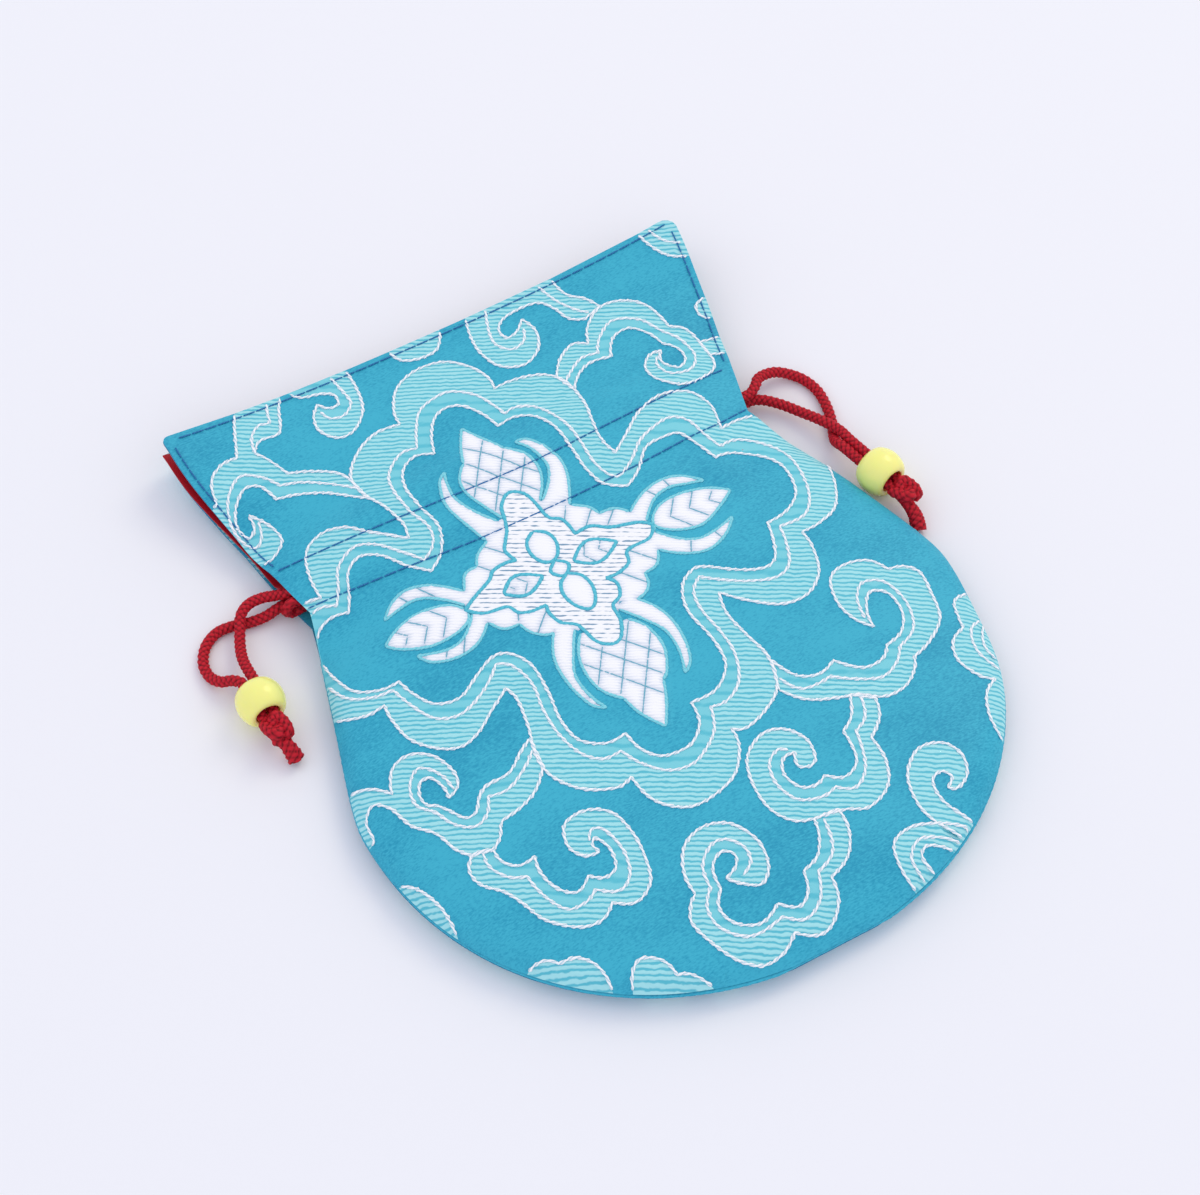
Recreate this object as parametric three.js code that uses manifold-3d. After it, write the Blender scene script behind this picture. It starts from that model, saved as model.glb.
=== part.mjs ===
// A kinchaku drawstring pouch of brocade with a red lining, two cords, two beads and two knots.
// It lies on its back with its front up and its mouth towards +Y. Millimetres, +Z up.
// The origin is on the table under the middle of the cloth pouch, cords left out.
import * as THREE from "three";
import { mergeVertices } from "three/addons/utils/BufferGeometryUtils.js";
import Module from "manifold-3d";

// Outline of the pouch, with heights along it counted from the bottom of the round
const bodyWidth = 119.2;
const widestFromBottom = 57;
const bottomRoundness = 2.12; // 2 is an ellipse, more is squarer
const shoulderRound = 6; // how softly the widest place turns into the straight shoulders
const waistWidth = 92;
const waistFromBottom = 102.8; // the side seam ends here and the cord channel begins
const mouthWidth = 108;
const pouchLength = 148.5;
const mouthCorner = 2.6; // rounding of the two corners of each flap

// Cloth and cord
const brocadeThickness = 0.45;
const liningThickness = 0.3;
const layerGap = 0.35; // air between a brocade panel and its lining
const cordDiameter = 1.9;
const cordClearance = 0.25; // air round a cord in its channel
const seamGap = 0.3; // between the two panels along the side seam
const channelWidth = 10.5; // between the two rows of stitching
const seamAllowance = 1.8; // how far the lining stays inside the side seam
const mouthAllowance = 0.8; // how far the lining stays inside the edges of the flaps
const channelNotch = 7; // how far the lining stops short where the cords come out

// Heights above the table
const seamHeight = 3.4;
const bodyCrown = 9.8; // top of the front in the body
const channelCrown = 10.8; // top of the front over the cords
const mouthCrown = 8.4; // middle of the front flap's edge
const frontMouthEdge = 9.9; // corners of the front flap, which curl up a little
const backMouthEdge = 2.4; // corners of the back flap
const backMouthLift = 0.9; // middle of the back flap
const bottomRise = 30; // length over which the front rounds up from the bottom seam
const backRise = 22; // length over which the back rounds down to the table
const bodyEdgeRound = 0.55; // power of the crown across the body, full at the edges
const neckEdgeRound = 1; // power across the neck, flatter
const backFlat = 0.7; // share of the half width over which the back lies flat

// Beads and knots
const beadDiameter = 9;
const beadLength = 6.4;
const beadBore = 4.5;
const beadFace = 6.2; // diameter of the flat ends
const beadSeat = 0.3; // between a bead and its knot
const strandGap = 0.2; // between the two strands inside a bead
const knotDiameter = 5.4;
const knotLength = 5.8;

// Woven pattern of the front
const patternRise = 0.45; // how far it stands above the ground of the brocade
const patternRoot = 0.3; // how deep it is rooted in the brocade
const patternMargin = 1.2; // how far inside the outline it ends

// Facets
const columnsFront = [0, 0.34, 0.62, 0.82, 0.94, 0.98, 1];
const columnsBack = [0, 0.7, 0.82, 0.92, 1];
const columnsLining = [0, 0.4, 0.7, 0.9, 1];
const bottomSteps = 8;
const firstBottomAngle = 7; // degrees: the first cross row lies just above the lowest point
const shoulderSteps = 5;
const neckSteps = 4;
const cordSides = 8;
const tailSteps = 4;
const chordsPerPoint = 1.35; // chords of a woven line for each of its points
const beadSides = 18;

const cordRadius = cordDiameter / 2;
const channelMiddle = waistFromBottom + channelWidth / 2;
const pocketDepth = cordDiameter + 2 * cordClearance; // between brocade and lining over the cords
const runSpread = cordRadius + cordClearance / 2; // the two cords lie this far each side of the middle
const pocketHalf = runSpread + cordRadius + cordClearance + 0.3; // full depth this far from the middle
const channelSpread = cordDiameter / 2 + seamGap / 2; // cords above and below the seam height at the exits
const frontChannelEdge = seamHeight + channelSpread + cordRadius + cordClearance + brocadeThickness;
const backChannelEdge = 2 * seamHeight - frontChannelEdge;
const frontSeamEdge = seamHeight + seamGap / 2 + brocadeThickness;
const backSeamEdge = 2 * seamHeight - frontSeamEdge;

const mix = (a, b, t) => a + (b - a) * t;
const ease = (value, from, to) => THREE.MathUtils.smoothstep(value, from, to);

// Half width of the cloth at a height y from the bottom, drawn in from the outline by an inset.
const shoulderRun = (y) => Math.hypot(y - widestFromBottom, shoulderRound) - shoulderRound;
const shoulderSlope = (bodyWidth - waistWidth) / 2 / shoulderRun(waistFromBottom);
function halfWidth(y, inset = 0) {
  if (y < widestFromBottom) {
    const below = (widestFromBottom - y) / (widestFromBottom - inset);
    const power = 1 - Math.min(1, below) ** bottomRoundness;
    return (bodyWidth / 2 - inset) * power ** (1 / bottomRoundness);
  }
  if (y < waistFromBottom) return bodyWidth / 2 - shoulderSlope * shoulderRun(y) - inset;
  const up = (y - waistFromBottom) / (pouchLength - waistFromBottom);
  return mix(waistWidth, mouthWidth, up) / 2 - inset;
}

// Upper face of the front panel and lower face of the back panel, over the whole outline.
const neckStart = mix(widestFromBottom, waistFromBottom, 0.6);
const seamOpens = mix(widestFromBottom, waistFromBottom, 0.78);
const channelTop = waistFromBottom + channelWidth;
const across = (x, y) => Math.min(1, Math.abs(x) / halfWidth(y));
const bottomCut = Math.cos(THREE.MathUtils.degToRad(firstBottomAngle)) ** (2 / bottomRoundness);
const lowestRow = widestFromBottom * (1 - bottomCut); // height of the first cross row
function roundUp(y, length) {
  const rise = THREE.MathUtils.clamp((y - lowestRow) / length, 0, 1);
  return Math.sqrt(1 - (1 - rise) ** 2);
}

function frontHeight(x, y) {
  const open = ease(y, seamOpens, waistFromBottom);
  const flare = ease(y, channelTop, pouchLength);
  const edge = mix(mix(frontSeamEdge, frontChannelEdge, open), frontMouthEdge, flare);
  const body = mix(frontSeamEdge, bodyCrown, roundUp(y, bottomRise));
  const neck = mix(channelCrown, mouthCrown, flare);
  const middle = mix(body, neck, ease(y, neckStart, waistFromBottom));
  const power = mix(bodyEdgeRound, neckEdgeRound, ease(y, neckStart, waistFromBottom));
  return mix(edge, middle, (1 - across(x, y) ** 3) ** power);
}

function backHeight(x, y) {
  const open = ease(y, seamOpens, waistFromBottom);
  const flare = ease(y, channelTop, pouchLength);
  const edge = mix(mix(backSeamEdge, backChannelEdge, open), backMouthEdge, flare);
  const body = mix(backSeamEdge, 0, roundUp(y, backRise));
  const middle = mix(body, backMouthLift, flare);
  const rim = Math.max(0, (across(x, y) - backFlat) / (1 - backFlat));
  return mix(middle, edge, rim ** 2);
}

// Air between brocade and lining: a pocket for the cords between the two rows of stitching.
function pocket(y) {
  const off = Math.abs(y - channelMiddle);
  const out = (off - pocketHalf) / (channelWidth / 2 - pocketHalf);
  return mix(pocketDepth, layerGap, THREE.MathUtils.clamp(out, 0, 1));
}

// Cross rows of a panel from the bottom to the mouth, each with its height and half width.
function crossRows(inset, mouthInset, notch) {
  const rows = [];
  for (let i = 0; i < bottomSteps; i++) {
    const angle = THREE.MathUtils.degToRad(mix(firstBottomAngle, 90, i / bottomSteps));
    const y = widestFromBottom - (widestFromBottom - inset) * Math.cos(angle) ** (2 / bottomRoundness);
    rows.push({ y, half: halfWidth(y, inset) });
  }
  for (let i = 0; i < shoulderSteps; i++) {
    const y = mix(widestFromBottom, waistFromBottom, i / shoulderSteps);
    rows.push({ y, half: halfWidth(y, inset) });
  }
  rows.push({ y: waistFromBottom, half: waistWidth / 2 - inset });
  for (const side of [-1, 1]) {
    const y = channelMiddle + side * pocketHalf;
    rows.push({ y, half: halfWidth(y, notch) });
  }
  const top = pouchLength - mouthInset;
  for (let i = 0; i <= neckSteps; i++) {
    const y = mix(channelTop, top - mouthCorner, i / neckSteps);
    rows.push({ y, half: halfWidth(y, mouthInset) });
  }
  for (const degrees of [45, 90]) {
    const turn = THREE.MathUtils.degToRad(degrees);
    const y = top - mouthCorner * (1 - Math.sin(turn));
    rows.push({ y, half: halfWidth(y, mouthInset) - mouthCorner * (1 - Math.cos(turn)) });
  }
  return rows;
}

const brocadeRows = crossRows(0, 0, 0);
const liningRows = crossRows(seamAllowance, mouthAllowance, channelNotch);
const middleFromBottom = (lowestRow + pouchLength) / 2; // y of the origin, from the bottom

// A sheet of cloth lofted through cross rows, from its upper face down by its thickness.
function clothSheet(rows, halfColumns, upperFace, thickness) {
  const columns = [...halfColumns.slice(1).reverse().map((u) => -u), ...halfColumns];
  const wide = columns.length;
  const layer = rows.length * wide;
  const positions = [];
  for (const drop of [0, thickness])
    for (const { y, half } of rows)
      for (const u of columns)
        positions.push(u * half, y - middleFromBottom, upperFace(u * half, y) - drop);
  const index = [];
  const quad = (a, b, c, d) => index.push(a, b, c, a, c, d);
  for (let j = 0; j < rows.length - 1; j++)
    for (let i = 0; i < wide - 1; i++) {
      const a = j * wide + i;
      quad(a, a + 1, a + 1 + wide, a + wide);
      quad(layer + a, layer + a + wide, layer + a + 1 + wide, layer + a + 1);
    }
  const wall = (a, b) => quad(b, a, layer + a, layer + b);
  for (let i = 0; i < wide - 1; i++) {
    wall(i, i + 1);
    wall(layer - wide + i + 1, layer - wide + i);
  }
  for (let j = 0; j < rows.length - 1; j++) {
    wall((j + 1) * wide, j * wide);
    wall(j * wide + wide - 1, (j + 1) * wide + wide - 1);
  }
  const sheet = new THREE.BufferGeometry();
  sheet.setAttribute("position", new THREE.Float32BufferAttribute(positions, 3));
  sheet.setIndex(index);
  return sheet;
}

// Closed meshes joined into one
const wasm = await Module();
wasm.setup();
function solid(geometry) {
  const bare = geometry.clone();
  bare.deleteAttribute("normal");
  bare.deleteAttribute("uv");
  const merged = mergeVertices(bare, 1e-4);
  const vertProperties = merged.attributes.position.array;
  const triVerts = new Uint32Array(merged.index.array);
  return new wasm.Manifold(new wasm.Mesh({ numProp: 3, vertProperties, triVerts }));
}
const union = (geometries) => geometries.map(solid).reduce((a, b) => a.add(b));
function meshed(manifold) {
  const mesh = manifold.getMesh();
  const geometry = new THREE.BufferGeometry();
  geometry.setAttribute("position", new THREE.BufferAttribute(mesh.vertProperties, 3));
  geometry.setIndex(new THREE.BufferAttribute(mesh.triVerts, 1));
  return geometry;
}

// Materials
const brocade = new THREE.MeshStandardMaterial({ color: 0x45a9c6, roughness: 0.45, metalness: 0 });
const redLining = new THREE.MeshStandardMaterial({ color: 0xb81f2c, roughness: 0.4, metalness: 0 });
const redCord = new THREE.MeshStandardMaterial({ color: 0xb3303f, roughness: 0.75, metalness: 0 });
const yellowBead = new THREE.MeshStandardMaterial({ color: 0xf5f29b, roughness: 0.2, metalness: 0 });

const pouch = new THREE.Group();
function add(name, geometry, material) {
  const mesh = new THREE.Mesh(geometry, material);
  mesh.name = name;
  pouch.add(mesh);
  return mesh;
}

// Lines of the woven pattern, x and y from the bottom. A line is a closed row of lobes. A lobe is the points
// that its stroke swings through, up to the start of the next lobe.
const ringOuter = [
  [[-14, 130.7], [-10.3, 139.3], [0.5, 140.7]],
  [[5.1, 129.3], [14.7, 127.6], [17.6, 118], [15.8, 107]],
  [[16.6, 103.8], [25.5, 110.3], [35.9, 110.7]],
  [[37.5, 100.8], [46.5, 100.5], [51.6, 90], [46.8, 75.7]],
  [[37.7, 72.7], [35.3, 63.2], [26, 60.5]],
  [[17.4, 68.1], [16.6, 60], [17.9, 52], [11.3, 42.7]],
  [[4.7, 42.6], [0.5, 34.5], [-9.9, 32.9]],
  [[-15.3, 42.8], [-23.7, 45], [-27.4, 54.3], [-24.6, 66.3]],
  [[-25.2, 69.4], [-33.7, 63.9], [-41.2, 65]],
  [[-44.8, 77.9], [-53, 80.6], [-58, 94], [-48.5, 104.8]],
  [[-44.1, 104], [-42, 113.7], [-34, 114.3]],
  [[-25.3, 105.8], [-25.8, 114.3], [-27.5, 124.3], [-19, 131.2]],
];
const ringInner = [
  [[-12, 120.7], [-8, 128.5], [-2, 128.5]],
  [[1.2, 120.4], [8, 118.8], [10, 108], [11.3, 98.8]],
  [[14.7, 96.2], [22.2, 102.4], [29.5, 102.5]],
  [[32.6, 94.9], [41.2, 91.7], [41.8, 81.5]],
  [[33.2, 77.4], [30.1, 69.8], [22.6, 71]],
  [[16.1, 74.8], [10.6, 67.5], [10.5, 54.3]],
  [[1.3, 50.6], [-2.5, 43.6], [-8.6, 43.8]],
  [[-11.8, 50.8], [-19.4, 53.7], [-19, 71.3]],
  [[-23.9, 76.4], [-32.8, 72], [-39.2, 76.3]],
  [[-40.5, 80.6], [-47.8, 83.5], [-49.4, 93.5], [-44.5, 99.5]],
  [[-41.2, 98.7], [-37.6, 105.6], [-31.2, 105.3]],
  [[-25, 97.6], [-19.4, 105], [-20.6, 115.6], [-15.3, 122.2]],
];
const curlClouds = [
  [
    [[-27.4, 121.2], [-32.4, 129.4]],
    [[-37, 131.5]],
    [[-40.3, 138.4], [-34.5, 140.4]],
    [[-29.5, 149.5]],
    [[-39, 149.5]],
    [[-43.7, 138.9], [-50.1, 136.3]],
    [[-51.2, 132], [-54.5, 120], [-47.5, 116.8], [-44.6, 122.8]],
    [[-47.1, 127], [-49.2, 123.2], [-48.5, 129.6], [-42.7, 131.4]],
    [[-41.3, 127.5], [-32.4, 123.5]],
    [[-27, 117.7]],
  ],
  [
    [[-16.6, 149.5], [-18.2, 137.8], [-25.3, 134], [-26.8, 141]],
    [[-24.9, 143.3], [-21.5, 141.5], [-23.3, 145.5]],
    [[-29, 149.5]],
  ],
  [
    [[9.5, 149.5], [7.5, 138], [13, 131.8], [19, 138.2]],
    [[18.2, 142.5], [13.5, 139.8], [15.3, 144.5], [23, 144.4]],
    [[28.4, 136.2]],
    [[32.4, 137.4]],
    [[27.7, 149.5]],
  ],
  [
    [[16.5, 125.8], [23.2, 131.8]],
    [[25.9, 130.3], [32.2, 137.2], [40.3, 132.9]],
    [[41.5, 126.8], [45, 120], [40.5, 112.7], [32.2, 116], [34.5, 122.2]],
    [[37, 122.3], [37.6, 116.7], [40.4, 121.3]],
    [[38.2, 123.8], [34.5, 129.9]],
    [[28, 125.2], [20.6, 124.4]],
    [[17.7, 121.3]],
  ],
  [
    [[-26.6, 58.2], [-33, 54.1], [-43.5, 50.3]],
    [[-46.4, 55], [-48.1, 58.4], [-44.9, 60.4]],
    [[-44.1, 55.2], [-41, 59.5], [-45.8, 66.5]],
    [[-52, 61.5], [-57, 65.9]],
    [[-62, 66.5]],
    [[-62, 56], [-58, 59.4], [-53.4, 59.2]],
    [[-46, 43.5]],
    [[-42.4, 42.5], [-38.5, 46.4], [-31, 48.6]],
    [[-27.3, 52.2]],
  ],
  [
    [[-46, 43.5], [-47.2, 38], [-43, 31.7], [-36.6, 22.6]],
    [[-29.9, 23.7], [-22.4, 23.9], [-20.5, 33.5], [-25.3, 41], [-31.2, 36.7]],
    [[-27.1, 32.9], [-26.2, 29]],
    [[-31, 30], [-36.5, 30.4]],
    [[-37, 37.7], [-42.2, 39.9]],
    [[-42.4, 42.5]],
  ],
  [
    [[-17, 18.2], [-14, 26.8], [-5.2, 26.5], [-3.6, 16.6], [-9.2, 16]],
    [[-11, 18.1], [-7.5, 21.2], [-12, 20.9]],
    [[-12.8, 16.9], [-13.8, 10.5]],
    [[-5.8, 10], [-2.8, 7.9]],
    [[1.1, 12.9], [4.6, 14.2]],
    [[7.7, 20.3]],
    [[12.4, 20], [9, 11.6]],
    [[4.7, 9.8], [0.8, 3]],
    [[-5.8, 4.5], [-13.6, 2.6], [-20.1, 13.5]],
  ],
  [
    [[8.8, 20.2], [2.2, 25.5], [4, 36.2], [12.5, 38.1], [14.2, 30.4]],
    [[11.7, 33.2], [7.8, 30], [11.6, 25.8]],
    [[13.8, 26.7], [20.3, 26.7]],
    [[21.4, 32.8]],
    [[26.4, 38.6]],
    [[30, 35.9]],
    [[25, 29.4], [22.2, 19.8], [13.5, 19.3]],
  ],
  [
    [[16, 45.3], [24.4, 39], [36, 35.6]],
    [[40.8, 40.1], [49.8, 45.5], [52, 55.5]],
    [[47, 58.3], [39.8, 62.6], [34.8, 56]],
    [[37.8, 48.8], [41.2, 55.4], [44.2, 49.5]],
    [[37.8, 44.4], [31.5, 42.3]],
    [[27.6, 46], [20.2, 46.5]],
    [[18, 51.3]],
  ],
  [
    [[60, 48.6], [53, 44.2]],
    [[52.6, 42], [47.6, 36.2]],
    [[51.8, 30.6], [46.4, 24]],
    [[46.3, 19]],
    [[60, 19]],
  ],
  [
    [[26.3, 10.2], [26.6, 20.2], [35.5, 22.9], [36.2, 16]],
    [[31.6, 15.1], [32.2, 18.2], [29.6, 12.9]],
    [[33, 8]],
    [[30, 6]],
  ],
];
const crossedFigure = [
  [[[-5.1, 122.9]], [[-1.8, 114.6], [2.1, 108.3]], [[-1, 101.2]], [[-9.3, 101.4], [-11.6, 110.8]], [[-9.4, 113.9]]],
  [[[-5, 48.6]], [[-8.5, 57], [-11.6, 66]], [[-8.3, 72.7]], [[0.4, 71.3], [3, 63]], [[-0.6, 57]]],
  [[[31.1, 87], [22.5, 90.4]], [[14.8, 86.8], [22.5, 82.6]]],
  [[[-38.2, 90.2], [-28.5, 90.8]], [[-23.6, 87.4], [-32.5, 85.3]]],
  [[[-12.9, 115.1], [-16.1, 108.6]], [[-12.8, 100]], [[-9.4, 100.4], [-13.9, 108.6]]],
  [[[1.4, 114.3], [6.5, 107.5]], [[4.3, 99.5]], [[-0.7, 100.8], [3.6, 108.4]]],
  [[[-12, 56.9], [-15.4, 65]], [[-12.4, 75]], [[-8.5, 74.3], [-13.5, 65.5]]],
  [[[3.4, 56.3], [7.2, 65]], [[3.4, 74.4]], [[0.1, 73.6], [5, 65.6]]],
  [[[27.9, 91.1], [20.8, 94.6]], [[12.2, 91]], [[15, 88.9], [21.3, 92.5]]],
  [[[28.3, 81.6], [20.5, 77.2]], [[12.9, 81.5]], [[14.8, 84.7], [20.6, 80.1]]],
  [[[-36.7, 93.3], [-30.4, 96.5]], [[-22, 90.8]], [[-23.7, 88.6], [-30.5, 93.9]]],
  [[[-35.4, 83.4], [-29, 79.5]], [[-21.3, 83.3]], [[-23.4, 85.6], [-30, 81.8]]],
  [
    [[-9.3, 101.6]],
    [[-0.8, 101.6], [6.2, 95.5]],
    [[7.2, 93.4]],
    [[12.4, 91]],
    [[14.9, 86.8], [11, 79]],
    [[8, 78.4], [4.7, 74.2]],
    [[1, 72.2]],
    [[-8.4, 72.2], [-13.2, 75.3]],
    [[-16.7, 80]],
    [[-21.2, 82.9]],
    [[-23.8, 87.3], [-20, 93.9]],
    [[-17.5, 94.2], [-13.5, 98]],
  ],
];

// A closed line of lobes as points, with the round lobes cut into short chords
function outline(lobes) {
  return lobes.flatMap((lobe, i) => {
    const way = [...lobe, lobes[(i + 1) % lobes.length][0]].map((p) => new THREE.Vector2(...p));
    const chords = way.length === 2 ? 1 : Math.round(chordsPerPoint * (way.length - 1));
    return new THREE.SplineCurve(way).getPoints(chords).slice(0, -1);
  });
}

// One woven shape as a tall prism of its outline
function wovenPrism(lobes, hole) {
  const shape = new THREE.Shape(outline(lobes));
  if (hole) shape.holes.push(new THREE.Path(outline(hole).reverse()));
  const prism = new THREE.ExtrudeGeometry(shape, { depth: 2 * channelCrown, bevelEnabled: false });
  return prism.translate(0, -middleFromBottom, -channelCrown / 2);
}

// The brocade of the front. Its pattern is a second layer of the cloth, cut to the woven shapes, that stands
// above the ground and ends a little inside the outline.
function brocadeFront() {
  const ground = clothSheet(brocadeRows, columnsFront, frontHeight, brocadeThickness);
  const above = (x, y) => frontHeight(x, y) + patternRise;
  const layer = clothSheet(brocadeRows, columnsFront, above, patternRise + patternRoot);
  const inner = crossRows(patternMargin, patternMargin, patternMargin);
  const within = clothSheet(inner, [0, 1], () => 2 * channelCrown, 3 * channelCrown);
  const shapes = [...curlClouds, ...crossedFigure].map((lobes) => wovenPrism(lobes));
  const pattern = union([wovenPrism(ringOuter, ringInner), ...shapes]);
  return meshed(solid(ground).add(solid(layer).intersect(pattern).intersect(solid(within))));
}

// The four cloth panels
const underFront = (x, y) => frontHeight(x, y) - brocadeThickness - pocket(y);
const overBack = (x, y) => backHeight(x, y) + brocadeThickness + pocket(y);
add("front_panel", brocadeFront(), brocade);
add(
  "back_panel",
  clothSheet(brocadeRows, columnsBack, (x, y) => backHeight(x, y) + brocadeThickness, brocadeThickness),
  brocade,
);
add("front_lining", clothSheet(liningRows, columnsLining, underFront, liningThickness), redLining);
add(
  "back_lining",
  clothSheet(liningRows, columnsLining, (x, y) => overBack(x, y) + liningThickness, liningThickness),
  redLining,
);

// Each bead lies on the table with its knot on one side. Towards is the way to the pouch.
const beads = {
  left: { x: -62.7, y: 91.2, towards: new THREE.Vector3(0, 1, 0) },
  right: { x: 59.2, y: 79.6, towards: new THREE.Vector3(-0.22, 0.975, 0).normalize() },
};
const fromBottom = (x, y, z) => new THREE.Vector3(x, y - middleFromBottom, z);
for (const bead of Object.values(beads)) {
  bead.centre = fromBottom(bead.x, bead.y, beadDiameter / 2);
  bead.aside = new THREE.Vector3(bead.towards.y, -bead.towards.x, 0);
}
const knotMiddle = beadLength / 2 + beadSeat + knotLength / 2; // from the bead's centre to its knot's

// A strand's straight stretch through its bead, from its far end to just short of the knot.
function throughBead(bead, side, clear) {
  const shift = bead.aside.clone().multiplyScalar(side * (cordRadius + strandGap / 2));
  const start = beadLength / 2 + clear;
  const stop = -(beadLength / 2 + beadSeat - 0.3);
  return [start, mix(start, stop, 0.5), stop].map((along) =>
    bead.centre.clone().addScaledVector(bead.towards, along).add(shift),
  );
}

// A cord's run across the pouch in one of its two channels, just under or over the brocade.
const runStations = [-1, -0.75, -0.4, 0, 0.4, 0.75, 1];
function channelRun(front, offset, from, to) {
  const y = channelMiddle + offset;
  const edge = halfWidth(y);
  return runStations.map((s) => {
    const x = mix(from * edge, to * edge, (s + 1) / 2);
    const inset = brocadeThickness + cordClearance + cordRadius;
    return fromBottom(x, y, front ? frontHeight(x, y) - inset : backHeight(x, y) + inset);
  });
}

// The free strands, as points chosen along their way from the channel to the bead
const leftFrontStrand = [
  [-50, 110.4, 4],
  [-52.6, 111.4, 3.7],
  [-55.3, 111.5, 3.4],
  [-57.4, 110.2, 3.1],
  [-58.8, 107.8, 2.6],
  [-60.3, 104.6, 2.4],
  [-61.3, 101, 3.3],
];
const leftBackStrand = [
  [-50, 109, 2.2],
  [-53.4, 108.8, 1.6],
  [-56.6, 109.5, 1],
  [-59.4, 110.3, 0.97],
  [-62.5, 110.3, 0.97],
  [-65.4, 108.6, 0.97],
  [-67.3, 105.6, 0.97],
  [-67.6, 102.4, 1.3],
  [-66.6, 99.8, 2.3],
  [-64.9, 98.1, 3.7],
];
const rightFrontStrand = [
  [49.4, 108.2, 4.2],
  [51.6, 110.2, 3.4],
  [55.6, 110.6, 2.1],
  [59.2, 108, 1.1],
  [60.6, 104.2, 0.97],
  [60.3, 100.1, 0.97],
  [59.2, 96.2, 0.97],
  [57.6, 93, 1.3],
  [56.4, 90.4, 3],
];
const rightBackStrand = [
  [49.6, 106.2, 2.3],
  [52.4, 103.6, 2.1],
  [54.8, 99.8, 2.3],
  [56.7, 95.8, 3.1],
  [58.1, 92, 3.7],
];
// Where each cord turns back round the far side of the channel: how far out from the edge, and how high
const leftTurn = [
  [1.9, 4.9],
  [3.1, 3.4],
  [1.9, 1.9],
];
const rightTurn = [
  [-2.6, 5.2],
  [-1.7, 3.7],
  [-2.6, 2.3],
];

// A round cord along a curve. A full circle gets two sides for each curve segment.
function cordTube(path, steps) {
  const section = new THREE.Shape().absarc(0, 0, cordRadius, 0, 2 * Math.PI);
  return new THREE.ExtrudeGeometry(section, { steps, curveSegments: cordSides / 2, extrudePath: path });
}

// A whole cord: from its knot through its bead and the front channel, round the turn and back.
function drawstring(bead, hand, offset, frontStrand, backStrand, sides, clear, turn) {
  const y = channelMiddle + offset;
  const edge = halfWidth(y);
  const bend = turn.map(([out, z]) => fromBottom(-hand * (edge + out), y, z));
  const turnsIn = Math.min(0, turn[0][0] - 1.5) / edge; // runs end short of a turn inside the edge
  const front = channelRun(true, offset, hand, -hand * (1 + turnsIn));
  const back = channelRun(false, offset, -hand * (1 + turnsIn), hand);
  const points = [
    ...throughBead(bead, sides[0], clear).reverse(),
    ...frontStrand.map((p) => fromBottom(...p)).reverse(),
    ...front,
    ...bend,
    ...back,
    ...backStrand.map((p) => fromBottom(...p)),
    ...throughBead(bead, sides[1], clear),
  ];
  const route = new THREE.CatmullRomCurve3(points);
  route.getUtoTmapping = (u) => u; // steps fall on the points, so they are closer in the bends
  return cordTube(route, 2 * (points.length - 1));
}
add(
  "left_drawstring",
  drawstring(beads.left, -1, runSpread, leftFrontStrand, leftBackStrand, [1, -1], 1.6, rightTurn),
  redCord,
);
add(
  "right_drawstring",
  drawstring(beads.right, 1, -runSpread, rightFrontStrand, rightBackStrand, [-1, 1], 5.6, leftTurn),
  redCord,
);

// A barrel bead turned about its bore, with flat ends
function beadGeometry() {
  const bore = beadBore / 2;
  const end = beadLength / 2;
  const face = beadFace / 2;
  const barrel = new THREE.SplineCurve([
    new THREE.Vector2(face, -end),
    new THREE.Vector2(mix(face, beadDiameter / 2, 0.72), -end * 0.72),
    new THREE.Vector2(beadDiameter / 2, 0),
    new THREE.Vector2(mix(face, beadDiameter / 2, 0.72), end * 0.72),
    new THREE.Vector2(face, end),
  ]);
  const profile = [new THREE.Vector2(bore, -end), ...barrel.getPoints(8), new THREE.Vector2(bore, end)];
  return new THREE.LatheGeometry([...profile, profile[0]], beadSides);
}

// An overhand knot drawn tight: a rounded core with one turn of cord across it, and a short tail.
function knotGeometry(tail) {
  const core = new THREE.SphereGeometry(1, 10, 7).scale(knotDiameter * 0.43, knotLength / 2, knotDiameter * 0.43);
  const turn = new THREE.TorusGeometry(knotDiameter / 2 - cordRadius, cordRadius, 7, 12);
  turn.rotateX(THREE.MathUtils.degToRad(62));
  turn.rotateY(THREE.MathUtils.degToRad(35));
  const path = new THREE.CatmullRomCurve3(tail.map((p) => new THREE.Vector3(...p)));
  const end = cordTube(path, tailSteps);
  return meshed(union([core, turn, end]));
}
const tails = {
  left: [
    [0, -1, 0],
    [0.4, -3.2, -1.5],
    [0.9, -5.4, -3.4],
  ],
  right: [
    [0, -1, 0],
    [-1.1, -3.6, -1.7],
    [-2.4, -6.2, -3.4],
  ],
};

const up = new THREE.Vector3(0, 1, 0);
for (const side of ["left", "right"]) {
  const { centre, towards } = beads[side];
  const bead = add(`${side}_bead`, beadGeometry(), yellowBead);
  bead.position.copy(centre);
  bead.quaternion.setFromUnitVectors(up, towards);
  const knot = add(`${side}_knot`, knotGeometry(tails[side]), redCord);
  knot.position.copy(centre).addScaledVector(towards, -knotMiddle);
  knot.quaternion.setFromUnitVectors(up, towards);
}

export default pouch;
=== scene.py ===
# A kinchaku drawstring pouch of cloud brocade with a red lining, two cords, two beads and two knots.
# It lies on its back. Lengths in the dictionaries are millimetres, y counted from the bottom of the pouch.
import math

import bpy
import numpy as np
from mathutils import Matrix, Vector
from mathutils.geometry import delaunay_2d_cdt


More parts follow.
